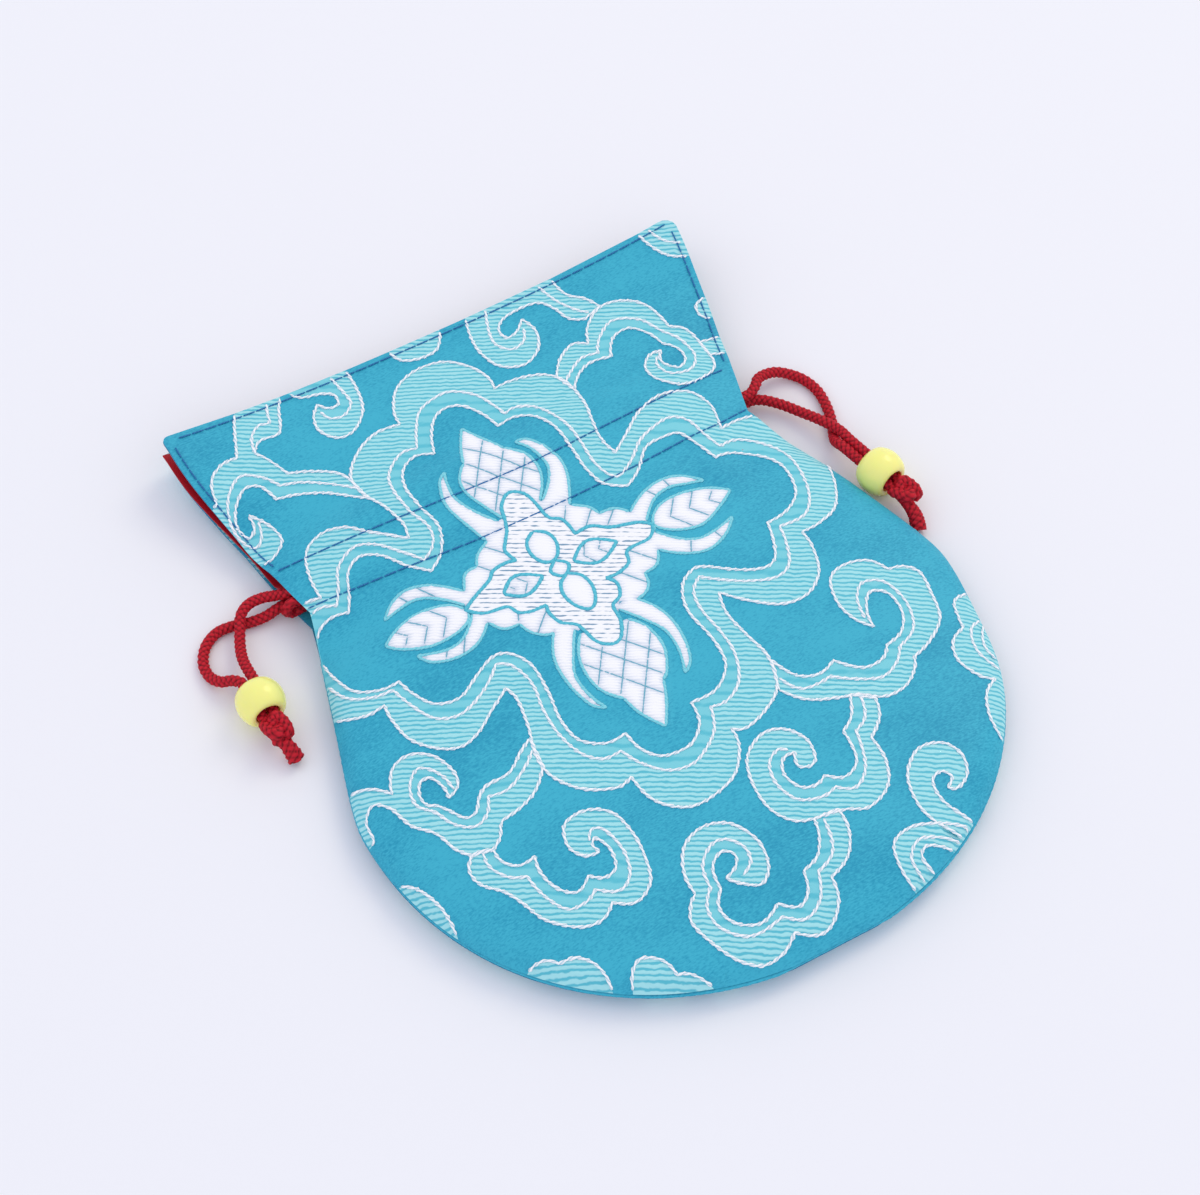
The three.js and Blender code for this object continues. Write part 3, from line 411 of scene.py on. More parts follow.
# Curl clouds: the outline, the line inside it, and which strokes of the outline bound the narrow band
clouds = {
    "upperLeft": {
        "outline": [
            [(-27.4, 121.2), (-28.7, 126.3), (-32.4, 129.4), (-37, 131.5)], [(-38.8, 136), (-40.3, 138.4)],
            [(-38.2, 140.5), (-34.5, 140.4), (-33, 142.5), (-31.8, 145.6), (-29.5, 149.5)], [(-39, 149.5)],
            [(-41.2, 145), (-42.8, 141), (-43.7, 138.9)], [(-47, 138.7), (-50.1, 136.3), (-51.2, 132)],
            [(-55.5, 128), (-54.5, 120), (-51, 117.4), (-47.5, 116.8), (-44.3, 119.3), (-44.6, 122.8),
             (-47.1, 127)],
            [(-47.6, 124), (-49.2, 123.2), (-50.1, 126), (-48.5, 129.6), (-45.4, 132.3), (-42.7, 131.4),
             (-41.3, 127.5)],
            [(-37.4, 126.4), (-32.4, 123.5), (-27, 117.7)],
        ],
        "inside": [
            [(-27.6, 121.4), (-31, 125), (-35.3, 128.3), (-39.4, 129.8)],
            [(-41.5, 133), (-45, 135), (-48.7, 132.2), (-50.7, 127.7), (-50.6, 123.6), (-48.9, 121),
             (-47.2, 122), (-46.2, 125)],
        ],
        "band": (7, 9),
        "extra": [
            [[(-40.2, 138.6), (-39.2, 141.9), (-36.8, 143.9), (-34.8, 143.6), (-34, 146), (-32.8, 149)]],
        ],
    },
    "topCurl": {
        "outline": [
            [(-16.6, 149.5), (-16.7, 143.5), (-18.2, 137.8), (-21.8, 134.1), (-25.3, 134), (-27.5, 137.5),
             (-26.8, 141), (-24.9, 143.3)],
            [(-23.5, 141.5), (-21.5, 141.5), (-21.1, 144), (-23.3, 145.5), (-27, 146.5), (-29, 149.5)],
        ],
        "inside": [
            [(-20, 149.5), (-19.3, 144), (-19.3, 140.6), (-21.8, 138.4), (-24.3, 139), (-25.2, 141.4)],
        ],
        "band": (1, 2),
    },
    "topRightCurl": {
        "outline": [
            [(9.5, 149.5), (7.7, 143), (7.5, 138), (9, 133.7), (13, 131.8), (17, 134), (19, 138.2),
             (18.2, 142.5)],
            [(15.8, 140.2), (13.5, 139.8), (13.2, 142.4), (15.3, 144.5), (19.7, 145.1), (23, 144.4),
             (24.8, 141.5), (25.9, 137.9), (28.4, 136.2)],
            [(32.4, 137.4)], [(30.9, 140.6), (28.4, 143.5), (27.7, 149.5)],
        ],
        "inside": [
            [(14, 149.5), (11.6, 143.6), (10.9, 139.5), (12.9, 136.6), (15.8, 137.4), (17.3, 140.2)],
        ],
        "extra": [[[(24.6, 149.5), (26, 143.2), (28, 139.3), (29.9, 137.2)]]],
    },
    "upperRight": {
        "outline": [
            [(16.5, 125.8), (19.4, 129.6), (23.2, 131.8), (25.9, 130.3)],
            [(28, 134.3), (32.2, 137.2), (36.8, 136.4), (40.3, 132.9), (41.5, 126.8)],
            [(44.2, 124.8), (45, 120), (44.2, 114.5), (40.5, 112.7), (35.5, 112.8), (32.2, 116),
             (32.2, 119.8), (34.5, 122.2), (37, 122.3)],
            [(35.7, 119.5), (37.6, 116.7), (40, 118.2), (40.4, 121.3), (38.2, 123.8)],
            [(37.2, 126.9), (34.5, 129.9), (31, 129.5), (28.8, 127), (28, 125.2)],
            [(23.8, 125.8), (20.6, 124.4), (17.7, 121.3)],
        ],
        "inside": [
            [(17.3, 123.8), (20.5, 126.4), (23, 127.7), (26.2, 127.3)],
            [(28.6, 130.7), (32.6, 133.1), (37.2, 130.9), (39.6, 126.6), (41.8, 123.4), (42.4, 118.9),
             (39.7, 115.4), (35.4, 115.9), (34.5, 119.3), (36, 121.4)],
        ],
        "band": (3, 6),
    },
    "rightTuft": {
        "outline": [[(44.9, 121.4), (48, 121.2), (53, 121.6)], [(53, 116.5)], [(47, 117), (44.9, 117.6)]],
    },
    "rightNub": {"outline": [[(54, 130.5), (49.2, 129.4), (48.3, 127.6), (49.2, 125.9), (54, 124.8)]]},
    "mouthCorner": {
        "outline": [[(47, 149.5), (47.8, 144.5), (50.2, 140.4), (56, 138)], [(56, 149.5)]],
        "extra": [[[(49, 149.5), (50.4, 144.5), (53.8, 141.6)]]],
    },
    "mouthNub": {"outline": [[(-7.5, 149.5), (-6.2, 145.4), (-2.6, 143.9), (1.2, 144.6), (4, 149.5)]]},
    "left": {
        "outline": [
            [(-26.6, 58.2), (-29.1, 56.8), (-33, 54.1), (-37.4, 53.9), (-39.6, 52.6), (-41.5, 50.3),
             (-43.5, 50.3), (-45.2, 53), (-46.4, 55)],
            [(-47.9, 56.2), (-48.1, 58.4), (-46.8, 60.6), (-44.9, 60.4), (-43.9, 57.5), (-44.1, 55.2)],
            [(-41.6, 56.6), (-41, 59.5), (-42.5, 64), (-45.8, 66.5), (-49.5, 65.8), (-52, 61.5)],
            [(-53.8, 64), (-57, 65.9), (-62, 66.5)], [(-62, 56)],
            [(-58.6, 55.6), (-58, 59.4), (-55.7, 61.6), (-53.4, 59.2), (-52, 54.3), (-49.1, 50.4),
             (-47.8, 46.2), (-46, 43.5)],
            [(-44.1, 43.3), (-42.4, 42.5)],
            [(-40.3, 43.9), (-38.5, 46.4), (-35, 47), (-31, 48.6), (-27.3, 52.2)],
        ],
        "inside": [
            [(-42.6, 56.2), (-43, 59.5), (-44.5, 62.3), (-46.3, 63.2), (-48.8, 60.7), (-49.4, 57),
             (-47.4, 54.1), (-45.8, 50.4), (-43, 48), (-40, 49), (-38.3, 51.9)],
            [(-34.6, 51.4), (-30.5, 53.4), (-27.3, 56)],
        ],
        "band": (0, 2),
    },
    "lowerLeft": {
        "outline": [
            [(-46, 43.5), (-47.7, 41.2), (-47.2, 38), (-44.6, 34.9), (-43, 31.7), (-41, 26.7),
             (-36.6, 22.6), (-32.8, 21.9), (-29.9, 23.7)],
            [(-26.2, 21.8), (-22.4, 23.9), (-20.9, 28.5), (-20.5, 33.5), (-21.6, 38.4), (-25.3, 41),
             (-29.6, 40.5), (-31.2, 36.7), (-29.8, 33.6), (-27.1, 32.9)],
            [(-27.5, 34.8), (-26.4, 35.5), (-25.3, 32.5), (-26.2, 29), (-28.7, 28.3), (-31, 30)],
            [(-33.9, 28.3), (-36.5, 30.4), (-37.6, 34.5), (-37, 37.7)],
            [(-40.2, 37.7), (-42.2, 39.9), (-42.4, 42.5)],
        ],
        "inside": [
            [(-44.1, 43), (-44.4, 40), (-42.6, 36.7), (-39.9, 35.2)],
            [(-39.2, 30.8), (-37, 26.5), (-33.6, 26), (-31.2, 27.2)],
            [(-27.6, 25), (-24.6, 27), (-23.5, 31.5), (-24.4, 36.2), (-26.2, 37.3), (-27.6, 35.6)],
        ],
        "band": (2, 5),
    },
    "bottom": {
        "outline": [
            [(-17, 18.2), (-16.7, 22.5), (-14, 26.8), (-9.5, 28.3), (-5.2, 26.5), (-2.8, 21.5),
             (-3.6, 16.6), (-6.3, 14.3), (-9.2, 16), (-11, 18.1)],
            [(-8.4, 19.3), (-7.5, 21.2), (-9.3, 22.7), (-12, 20.9), (-12.8, 16.9)],
            [(-14.8, 14), (-13.8, 10.5), (-10, 8.4), (-5.8, 10)], [(-2.8, 7.9), (-0.2, 9.4), (1.1, 12.9)],
            [(4.6, 14.2), (6.9, 17.4), (7.7, 20.3)], [(12.4, 20)], [(11.8, 15.6), (9, 11.6), (4.7, 9.8)],
            [(3.8, 6), (0.8, 3), (-2.4, 2.5), (-5.8, 4.5)],
            [(-9.2, 2.5), (-13.6, 2.6), (-17.4, 6.2), (-20.1, 13.5), (-18.8, 16.7), (-17, 18.2)],
        ],
        "inside": [
            [(9.2, 19.6), (7.4, 13.8), (3.2, 11.6)], [(1, 7.4), (-2.8, 5.6), (-6.2, 7.7)],
            [(-12.5, 7.3), (-16.3, 10.8), (-16.6, 14.8), (-14.2, 18)],
            [(-13.2, 22.2), (-9.9, 24.7), (-7.2, 24.2), (-5.4, 21.5), (-5.8, 18.8), (-8.2, 17.2)],
        ],
        "band": (1, 5),
    },
    "lowerRight": {
        "outline": [
            [(8.8, 20.2), (4.7, 21.6), (2.2, 25.5), (2.1, 31), (4, 36.2), (8.5, 39), (12.5, 38.1),
             (14.9, 34.3), (14.2, 30.4), (12.5, 29.5), (10.8, 30.6), (11.7, 33.2)],
            [(9.2, 32.9), (7.8, 30), (9, 26.7), (11.6, 25.8), (13.8, 26.7)],
            [(16.8, 24.8), (20.3, 26.7), (21.4, 32.8)], [(24.3, 34.8), (26.4, 38.6)], [(30, 35.9)],
            [(28.6, 32.4), (25, 29.4)],
            [(24.7, 24.2), (22.2, 19.8), (17.2, 17.8), (13.5, 19.3), (8.8, 20.2)],
        ],
        "inside": [
            [(27.9, 37.3), (26.3, 33.5), (23.4, 31.8)], [(21, 25), (17.4, 22.2), (14.2, 23.9)],
            [(11.3, 23.3), (7.2, 25), (5.7, 29.3), (6.7, 33.3), (9.4, 35), (10.9, 34)],
        ],
        "band": (1, 4),
    },
    "right": {
        "outline": [
            [(16, 45.3), (19.4, 41.2), (24.4, 39), (28, 37.9), (31.5, 35.5), (36, 35.6), (39.5, 38),
             (40.8, 40.1)],
            [(45.5, 42), (49.8, 45.5), (51.4, 51), (52, 55.5), (50, 57.8), (47, 58.3)],
            [(44.6, 61.7), (39.8, 62.6), (36.4, 61), (34.8, 56), (35.6, 51.8), (37.8, 48.8)],
            [(38.5, 52.2), (41.2, 55.4), (44, 53.8), (44.2, 49.5), (41.8, 45.8), (37.8, 44.4)],
            [(35.5, 42.3), (31.5, 42.3), (27.6, 46)], [(23.8, 44.8), (20.2, 46.5), (18, 51.3)],
        ],
        "inside": [
            [(17.3, 47.4), (19.7, 43.6), (25.4, 43.4)],
            [(29.2, 40.8), (33.4, 39.1), (37.2, 40.4), (39.7, 43.1)],
            [(44.2, 45.6), (46, 51), (44.7, 56.3), (41, 57.7), (38.4, 55.2), (37.4, 51)],
        ],
        "band": (3, 6),
    },
    "rightEdge": {
        "outline": [
            [(60, 48.6), (54.6, 47.8), (53, 44.2), (52.6, 42)],
            [(49, 40), (47.6, 36.2), (49.4, 32), (51.8, 30.6)], [(48.4, 28.2), (46.4, 24), (46.3, 19)],
            [(60, 19)],
        ],
        "extra": [
            [[(58, 42.8), (53.8, 41.2), (52.1, 36.6), (54, 32)]], [[(56.5, 41.4), (54, 37), (55.4, 33)]],
        ],
    },
    "smallCurl": {
        "outline": [
            [(26.3, 10.2), (25.1, 14.6), (26.6, 20.2), (31, 23.7), (35.5, 22.9), (37.4, 19.6), (36.2, 16),
             (33.2, 14.4), (31.6, 15.1)],
            [(33.4, 16.6), (32.2, 18.2), (29.8, 17.2), (29.6, 12.9), (33, 8)], [(30, 6)],
        ],
    },
    "bottomEdge": {
        "outline": [
            [(17.8, 0), (16.2, 5), (17.4, 10.1), (21.5, 11.4), (26.3, 10.2), (31, 8)], [(30, 3)],
            [(27, 5.2), (22.4, 7.5), (20.6, 5.6), (23, 1)],
        ],
        "extra": [[[(19.7, 1), (18.7, 6.3), (21.5, 8.9), (25, 8.1), (29.5, 5.6)]]],
    },
    "leftNub": {
        "outline": [[(-62, 48), (-58.2, 45.8), (-55.9, 42.6), (-54.5, 37), (-55, 30)], [(-62, 30)]],
    },
    "lowerLeftNub": {
        "outline": [
            [(-50, 20.6), (-45.2, 21.2), (-42.6, 19.2)], [(-39.3, 18.2), (-37.1, 14.5), (-37.4, 8)],
            [(-50, 8)],
        ],
    },
    "bottomNub": {
        "outline": [
            [(-35, 7), (-33, 11.6), (-30.5, 12.9), (-27.6, 10.9), (-26.6, 7.7)],
            [(-24.4, 6.6), (-21.5, 2.5)], [(-35, 2.5)],
        ],
    },
}

# The crossed figure in the ring: white heads, prongs and body, then the lines drawn on them
figure = {
    "shapes": {
        "topHead": [
            [(-4.9, 123.6), (-3.3, 120.1), (-1, 114.5)],
            [(2, 111.3), (2.6, 108.2), (1.6, 104.6), (-1.2, 100.5)], [(-8.4, 100.7)],
            [(-10, 104.2), (-11.5, 108.4), (-11.4, 112), (-9, 115)], [(-7.4, 119.1), (-4.9, 123.6)],
        ],
        "bottomHead": [
            [(-5, 48.6), (-7.5, 53), (-8.5, 57)], [(-11.2, 60.8), (-11.6, 66), (-10.3, 70), (-8.3, 72.7)],
            [(0.4, 71.3)], [(2.6, 68), (3, 63), (1, 58.5), (-0.6, 57)], [(-2.2, 53.2), (-5, 48.6)],
        ],
        "rightHead": [
            [(31.1, 87), (27.5, 89.3), (22.5, 90.4), (17.5, 89.8), (14.8, 86.8), (17.5, 83.9), (22.5, 82.6),
             (27.5, 84.7), (31.1, 87)],
        ],
        "leftHead": [
            [(-39.2, 88.2), (-35.8, 90.2), (-31.5, 91.1), (-26, 89.9), (-23.3, 87.2)],
            [(-24.2, 85.1), (-27.5, 83.9), (-32.3, 83.9), (-37, 85.9), (-39.2, 88.2)],
        ],
        "topLeftProng": [
            [(-12.9, 115.1), (-14.9, 113.2), (-16.1, 108.6), (-15.2, 104), (-12.8, 97)], [(-8.6, 99.6)],
            [(-12, 104.2), (-13.9, 108.6), (-13.8, 112.3), (-12.9, 115.1)],
        ],
        "topRightProng": [
            [(1.5, 114.7), (3.9, 114), (6.5, 109.5), (6.5, 104.2), (3, 96.8)], [(-1.6, 99.8)],
            [(2.3, 103.5), (4.2, 107.2), (3.6, 111.4), (1.5, 114.7)],
        ],
        "bottomLeftProng": [
            [(-12, 56.9), (-14.2, 59), (-15.4, 65), (-14.8, 70.8), (-11.8, 76)], [(-8, 75.2)],
            [(-11.2, 70.2), (-13.5, 65.5), (-13.3, 60.3), (-12, 56.9)],
        ],
        "bottomRightProng": [
            [(3.4, 56.3), (5.8, 58.6), (7.2, 65), (6.3, 70.5), (3, 75.4)], [(-0.4, 74.5)],
            [(3, 69.6), (5, 65.6), (4.9, 60.8), (3.4, 56.3)],
        ],
        "rightUpProng": [
            [(27.9, 91.1), (24.6, 93.8), (20.8, 94.6), (16, 93.4), (11.2, 90.1)], [(13.6, 87.6)],
            [(17.6, 91.5), (21.3, 92.5), (24.8, 91.8), (27.9, 91.1)],
        ],
        "rightDownProng": [
            [(28.3, 81.6), (24.8, 78.5), (20.5, 77.2), (16, 78.8), (12, 82.3)], [(13.8, 85.6)],
            [(17.4, 81.7), (20.6, 80.1), (24.6, 80.5), (28.3, 81.6)],
        ],
        "leftUpProng": [
            [(-36.7, 93.3), (-33.8, 95.8), (-30.4, 96.5), (-26, 94.7), (-21.2, 90)], [(-22.8, 87.8)],
            [(-26.8, 92), (-30.5, 93.9), (-36.7, 93.3)],
        ],
        "leftDownProng": [
            [(-35.4, 83.4), (-33.4, 80.8), (-29, 79.5), (-24.6, 80.4), (-20.4, 84.2)], [(-22.5, 86.4)],
            [(-26.4, 82.6), (-30, 81.8), (-35.4, 83.4)],
        ],
        "body": [
            [(-9.3, 100.9), (-0.8, 100.9)], [(3.4, 97.6), (6.2, 95.5), (7.2, 93.4)],
            [(10.2, 93.1), (12.4, 91)], [(14.7, 86.8)], [(13, 82.4), (11, 79), (8, 78.4)],
            [(7.2, 75.6), (4.7, 74.2), (1, 75.2)], [(0.4, 74.4), (-0.2, 73.5)], [(-8.4, 73.5)],
            [(-10.6, 75.6), (-13.2, 75.3), (-15.6, 77.2), (-16.7, 80)], [(-19.5, 80.4), (-21.2, 82.9)],
            [(-23.6, 87.3)], [(-21.4, 91.8), (-20, 93.9), (-17.5, 94.2)],
            [(-16.2, 96.3), (-13.5, 98), (-9.3, 100.9)],
        ],
    },
    "plate": [
        [(-10.7, 91.8), (-11.6, 94.5), (-10.5, 96.4), (-9.2, 98.2), (-8.4, 100.4), (-7.5, 103.3),
         (-5, 105.2), (-2.6, 103.6), (-1.7, 100), (-1.2, 96.9), (0.7, 95.4), (1.3, 91.7)],
        [(4.6, 91.8), (7.4, 90), (12.6, 88.4), (14.6, 86.8)],
        [(12.6, 84.5), (7.8, 84.1), (6.6, 81.6), (3.8, 80.6), (1.4, 80.8)],
        [(2.6, 78.8), (1.7, 76.2), (-0.4, 75), (-0.8, 71.5), (-2.6, 68.4), (-4.6, 67.9), (-6.8, 69.9),
         (-7.9, 74.4), (-10.2, 76.4), (-11, 79), (-10.7, 81)],
        [(-14, 81.2), (-15.8, 82.2), (-16.8, 84.1), (-21, 85), (-23.6, 87.3)],
        [(-21, 88.8), (-17, 90.6), (-15.4, 92), (-12.6, 92.3), (-10.7, 91.8)],
    ],
    "petals": [
        [[(-5.2, 95.7), (-3.1, 94.2), (-2.6, 91.9), (-3.6, 89.5), (-5.2, 88.6), (-6.9, 89.5), (-7.8, 91.9),
         (-7.3, 94.2), (-5.2, 95.7)]],
        [[(-4.2, 85), (-2.2, 83.6), (-1.5, 81), (-2.3, 78), (-4.1, 76.4), (-6, 78), (-6.9, 81),
         (-6.2, 83.6), (-4.2, 85)]],
        [[(-16.1, 86.8), (-12.6, 89.1), (-8.2, 86.7)], [(-12.4, 84.6), (-16.1, 86.8)]],
        [[(-1.8, 86.8), (2.4, 89.4), (7, 86.7)], [(2.2, 84.4), (-1.8, 86.8)]],
        [[(-4.7, 88.5), (-2.9, 86.7), (-4.7, 84.9), (-6.5, 86.7), (-4.7, 88.5)]],
    ],
    "veins": [  # thin lines across the side heads, the prongs and the petals of the body
        [(20.8, 90), (18.3, 86.8), (20.9, 83.1)], [(24.8, 90), (22.3, 86.8), (24.9, 83.4)],
        [(28.2, 88.6), (26.4, 86.8), (28.2, 84.9)], [(-29.2, 90.4), (-27.2, 87.6), (-29.6, 84.4)],
        [(-33.6, 90.4), (-31, 87.7), (-33.1, 84.9)], [(-36.4, 89.6), (-34.9, 87.8), (-36.1, 86.3)],
        [(17.2, 93.7), (18.4, 92)], [(21.2, 94.5), (21.6, 92.6)], [(17.6, 78.2), (19, 80.6)],
        [(24.2, 78.3), (23.6, 80.3)], [(-29, 96), (-26.9, 92.6)], [(-32.4, 95.9), (-31.4, 94)],
        [(-28.1, 79.6), (-26.2, 82.5)], [(-31.4, 80.1), (-30.2, 81.7)], [(2.9, 98), (0.9, 95)],
        [(6.5, 95), (3.6, 92)], [(10, 93), (7.4, 90.6)], [(7.8, 84.2), (11.6, 79.4)],
        [(4.2, 80.6), (7.6, 76)], [(-14.6, 97.4), (-11.4, 93.6)], [(-17.3, 94.1), (-15.6, 92)],
        [(-16.6, 80.2), (-15.6, 82.6)], [(-14.8, 76.6), (-11.2, 80)],
        [(-12.8, 88.9), (-11.2, 86.9), (-12.8, 84.9)], [(-14.8, 87.9), (-13.8, 86.8), (-14.6, 86)],
        [(1.6, 89), (0.4, 86.9), (1.8, 84.6)], [(4.6, 88.4), (3.4, 86.9), (4.6, 85.4)],
    ],
    "lattice": {"topHead": (-4.6, 109.2), "bottomHead": (-4.4, 64.0), "ways": [(0.57, 0.82), (0.6, -0.8)],
                "spacing": (4.1, 3.7), "reach": 14, "margin": 0.3},
}


def strokesOf(line):
    strokes = [line[0]]
    for stroke in line[1:]:
        strokes.append([strokes[-1][-1], *stroke])
    return strokes


def smoothStroke(points, step):
    p = np.asarray(points, float)
    chord = np.linalg.norm(np.diff(p, axis=0), axis=1)
    t = np.concatenate([[0], np.cumsum(np.sqrt(chord))])
    tangent = np.empty_like(p)
    tangent[1:-1] = (p[2:] - p[:-2]) / (t[2:] - t[:-2])[:, None]
    tangent[0] = (p[1] - p[0]) / (t[1] - t[0])
    tangent[-1] = (p[-1] - p[-2]) / (t[-1] - t[-2])
    if len(p) > 2:  # ends that keep the curve's own turn
        tangent[0] = 1.5 * tangent[0] - 0.5 * tangent[1]
        tangent[-1] = 1.5 * tangent[-1] - 0.5 * tangent[-2]
    rows = [p[:1]]
    for i, length in enumerate(chord):
        h = t[i + 1] - t[i]
        s = np.linspace(0, 1, max(1, math.ceil(length / step)) + 1)[1:, None]
        rows.append((2 * s**3 - 3 * s**2 + 1) * p[i] + (s**3 - 2 * s**2 + s) * h * tangent[i]
                    + (3 * s**2 - 2 * s**3) * p[i + 1] + (s**3 - s**2) * h * tangent[i + 1])
    return np.vstack(rows)


def joinedStrokes(strokes, step):
    parts = [smoothStroke(stroke, step) for stroke in strokes]
    return np.vstack([parts[0]] + [part[1:] for part in parts[1:]])


def wholeLine(line, step):
    return joinedStrokes(strokesOf(line), step)


def isInside(points, polygon):
    low, high = polygon.min(axis=0), polygon.max(axis=0)
    found = np.zeros(len(points), bool)
    near = np.flatnonzero(np.all((points >= low) & (points <= high), axis=1))
    x, y = points[near, 0][:, None], points[near, 1][:, None]
    ax, ay = polygon[:, 0], polygon[:, 1]
    bx, by = np.roll(ax, -1), np.roll(ay, -1)
    rise = np.where(by == ay, 1e-9, by - ay)
    hits = ((ay > y) != (by > y)) & (x < (bx - ax) * (y - ay) / rise + ax)
    found[near] = hits.sum(axis=1) % 2 == 1
    return found


def evenly(line, step):
    run = np.concatenate([[0], np.cumsum(np.linalg.norm(np.diff(line, axis=0), axis=1))])
    count = max(2, int(round(run[-1] / step)) + 1)
    s = np.linspace(0, run[-1], count)
    return np.column_stack([np.interp(s, run, line[:, k]) for k in range(line.shape[1])])


def stretchesOf(line, good, least=4):  # the parts of a line where its points are good
    stretches, current = [], []
    for point, keep in zip(line, good):
        if keep:
            current.append(point)
        elif current:
            stretches.append(np.array(current))
            current = []
    if current:
        stretches.append(np.array(current))
    return [stretch for stretch in stretches if len(stretch) >= least]


# "raise" goes by the places in brocadeFinishes. The back has fewer points, since it is seen less.
brocade = {"step": 0.9, "grid": 1.9, "backStep": 1.6, "backGrid": 3.2, "reach": 61, "rowShare": 0.866,
           "apart": 0.45, "raise": (0, 0.1, 0.07, 0.16, 0.2), "backSpread": 0.25,
           "bottomRun": 95, "cornerRoom": 3, "cornerPoints": 5}
puff = {"high": 0.32, "wide": 0.9, "fine": 0.8, "bound": 0.6, "x": (-40, 34), "y": (46, 125)}  # white floats
lineStep = 0.3  # between points of the lines that yarns follow


def panelOutline(step, spread=0):
    top = pouch["length"]
    y = np.concatenate([bottomRows(firstAngle, int(brocade["bottomRun"] / step)),
                        np.arange(pouch["widest"] + step, pouch["waist"], step),
                        np.arange(pouch["waist"], top - brocade["cornerRoom"], step)])
    turn = np.linspace(0, math.pi / 2, brocade["cornerPoints"])
    sides = []
    for hand, corner in zip((1, -1), pouch["corners"]):
        straight = sideWidth(hand, y) + spread * ease(y, channelTop, flap["cornersFrom"])
        rounded = sideWidth(hand, top - corner) + spread - corner * (1 - np.cos(turn))
        sides.append(np.vstack([np.column_stack([hand * straight, y]),
                                np.column_stack([hand * rounded, top - corner * (1 - np.sin(turn))])]))
    return np.vstack([sides[0], sides[1][::-1]])


def patternRegions(step):  # a later region covers an earlier one
    ringWeaves = {"outer": "ribs", "middle": "band", "inner": "ground"}
    regions = [(weave[kind], wholeLine(ring[name], step)) for name, kind in ringWeaves.items()]
    for cloud in clouds.values():
        strokes = strokesOf(cloud["outline"])
        regions.append((weave["ribs"], joinedStrokes(strokes, step)))
        if "band" in cloud:
            first, last = cloud["band"]
            inside = wholeLine(cloud["inside"], step)
            bound = joinedStrokes(strokes[first:last], step)
            if np.linalg.norm(inside[-1] - bound[0]) > np.linalg.norm(inside[0] - bound[0]):
                inside = inside[::-1]
            regions.append((weave["band"], np.vstack([inside, bound])))
    regions += [(weave["white"], wholeLine(shape, step)) for shape in figure["shapes"].values()]
    regions.append((weave["plate"], wholeLine(figure["plate"], step)))
    regions += [(weave["white"], wholeLine(petal, step)) for petal in figure["petals"]]
    return regions


def figureLines(step):  # an edge is hidden where it runs into another white shape or under the plate
    plate = wholeLine(figure["plate"], step)
    outlines = {name: wholeLine(shape, step) for name, shape in figure["shapes"].items()}
    edges = []
    for name, shape in figure["shapes"].items():
        others = [plate] + [outline for other, outline in outlines.items() if other != name]
        for line in [smoothStroke(stroke, step) for stroke in strokesOf(shape) if len(stroke) > 2]:
            edges += stretchesOf(line, ~np.any([isInside(line, other) for other in others], axis=0))
    veins = [smoothStroke(pair, step) for vein in figure["veins"] for pair in zip(vein, vein[1:])]
    lattice = figure["lattice"]
    far = np.arange(-lattice["reach"], lattice["reach"], step)[:, None]
    margin = np.array([lattice["margin"], 0])
    for head in ("topHead", "bottomHead"):
        outline = outlines[head]
        for way, spacing in zip(lattice["ways"], lattice["spacing"]):
            for k in (-1, 0, 1):
                middleX = lattice[head][0] + way[1] * k * spacing
                middleY = lattice[head][1] - way[0] * k * spacing
                line = np.array([[middleX, middleY]]) + far * np.array([way])
                inner = isInside(line - margin, outline) & isInside(line + margin, outline)
                veins += stretchesOf(line, inner & ~isInside(line, plate), 6)
    return edges, [plate] + [wholeLine(petal, step) for petal in figure["petals"]], veins


def fillingRows(grid):  # staggered rows of points over the whole panel
    x = np.arange(-brocade["reach"], brocade["reach"], grid)
    rows = np.arange(lowestRow + grid / 2, pouch["length"], grid * brocade["rowShare"])
    shifted = [np.column_stack([x + (i % 2) * grid / 2, np.full(len(x), y)]) for i, y in enumerate(rows)]
    return np.vstack(shifted)


def bindingPoints():  # what holds the white floats down: thin lines and the rows of stitches
    x = np.arange(*puff["x"], puff["bound"])
    rows = [np.column_stack([x, rowHeight(name, x)]) for name in stitchRows]
    return np.vstack([evenly(line, puff["bound"]) for line in figureLines(lineStep)[2]] + rows)


def clearOf(drawn, filling, grid, apart):  # the filling points that aren't too close to a drawn one
    cells = {}
    for i, key in enumerate(map(tuple, np.floor(drawn / grid).astype(int))):
        cells.setdefault(key, []).append(i)
    around = [(dx, dy) for dx in (-1, 0, 1) for dy in (-1, 0, 1)]
    clear = []
    for p in filling:
        cx, cy = np.floor(p / grid).astype(int)
        close = [i for dx, dy in around for i in cells.get((cx + dx, cy + dy), ())]
        if not close or np.min(np.sum((drawn[close] - p) ** 2, axis=1)) > apart**2:
            clear.append(p)
    return clear


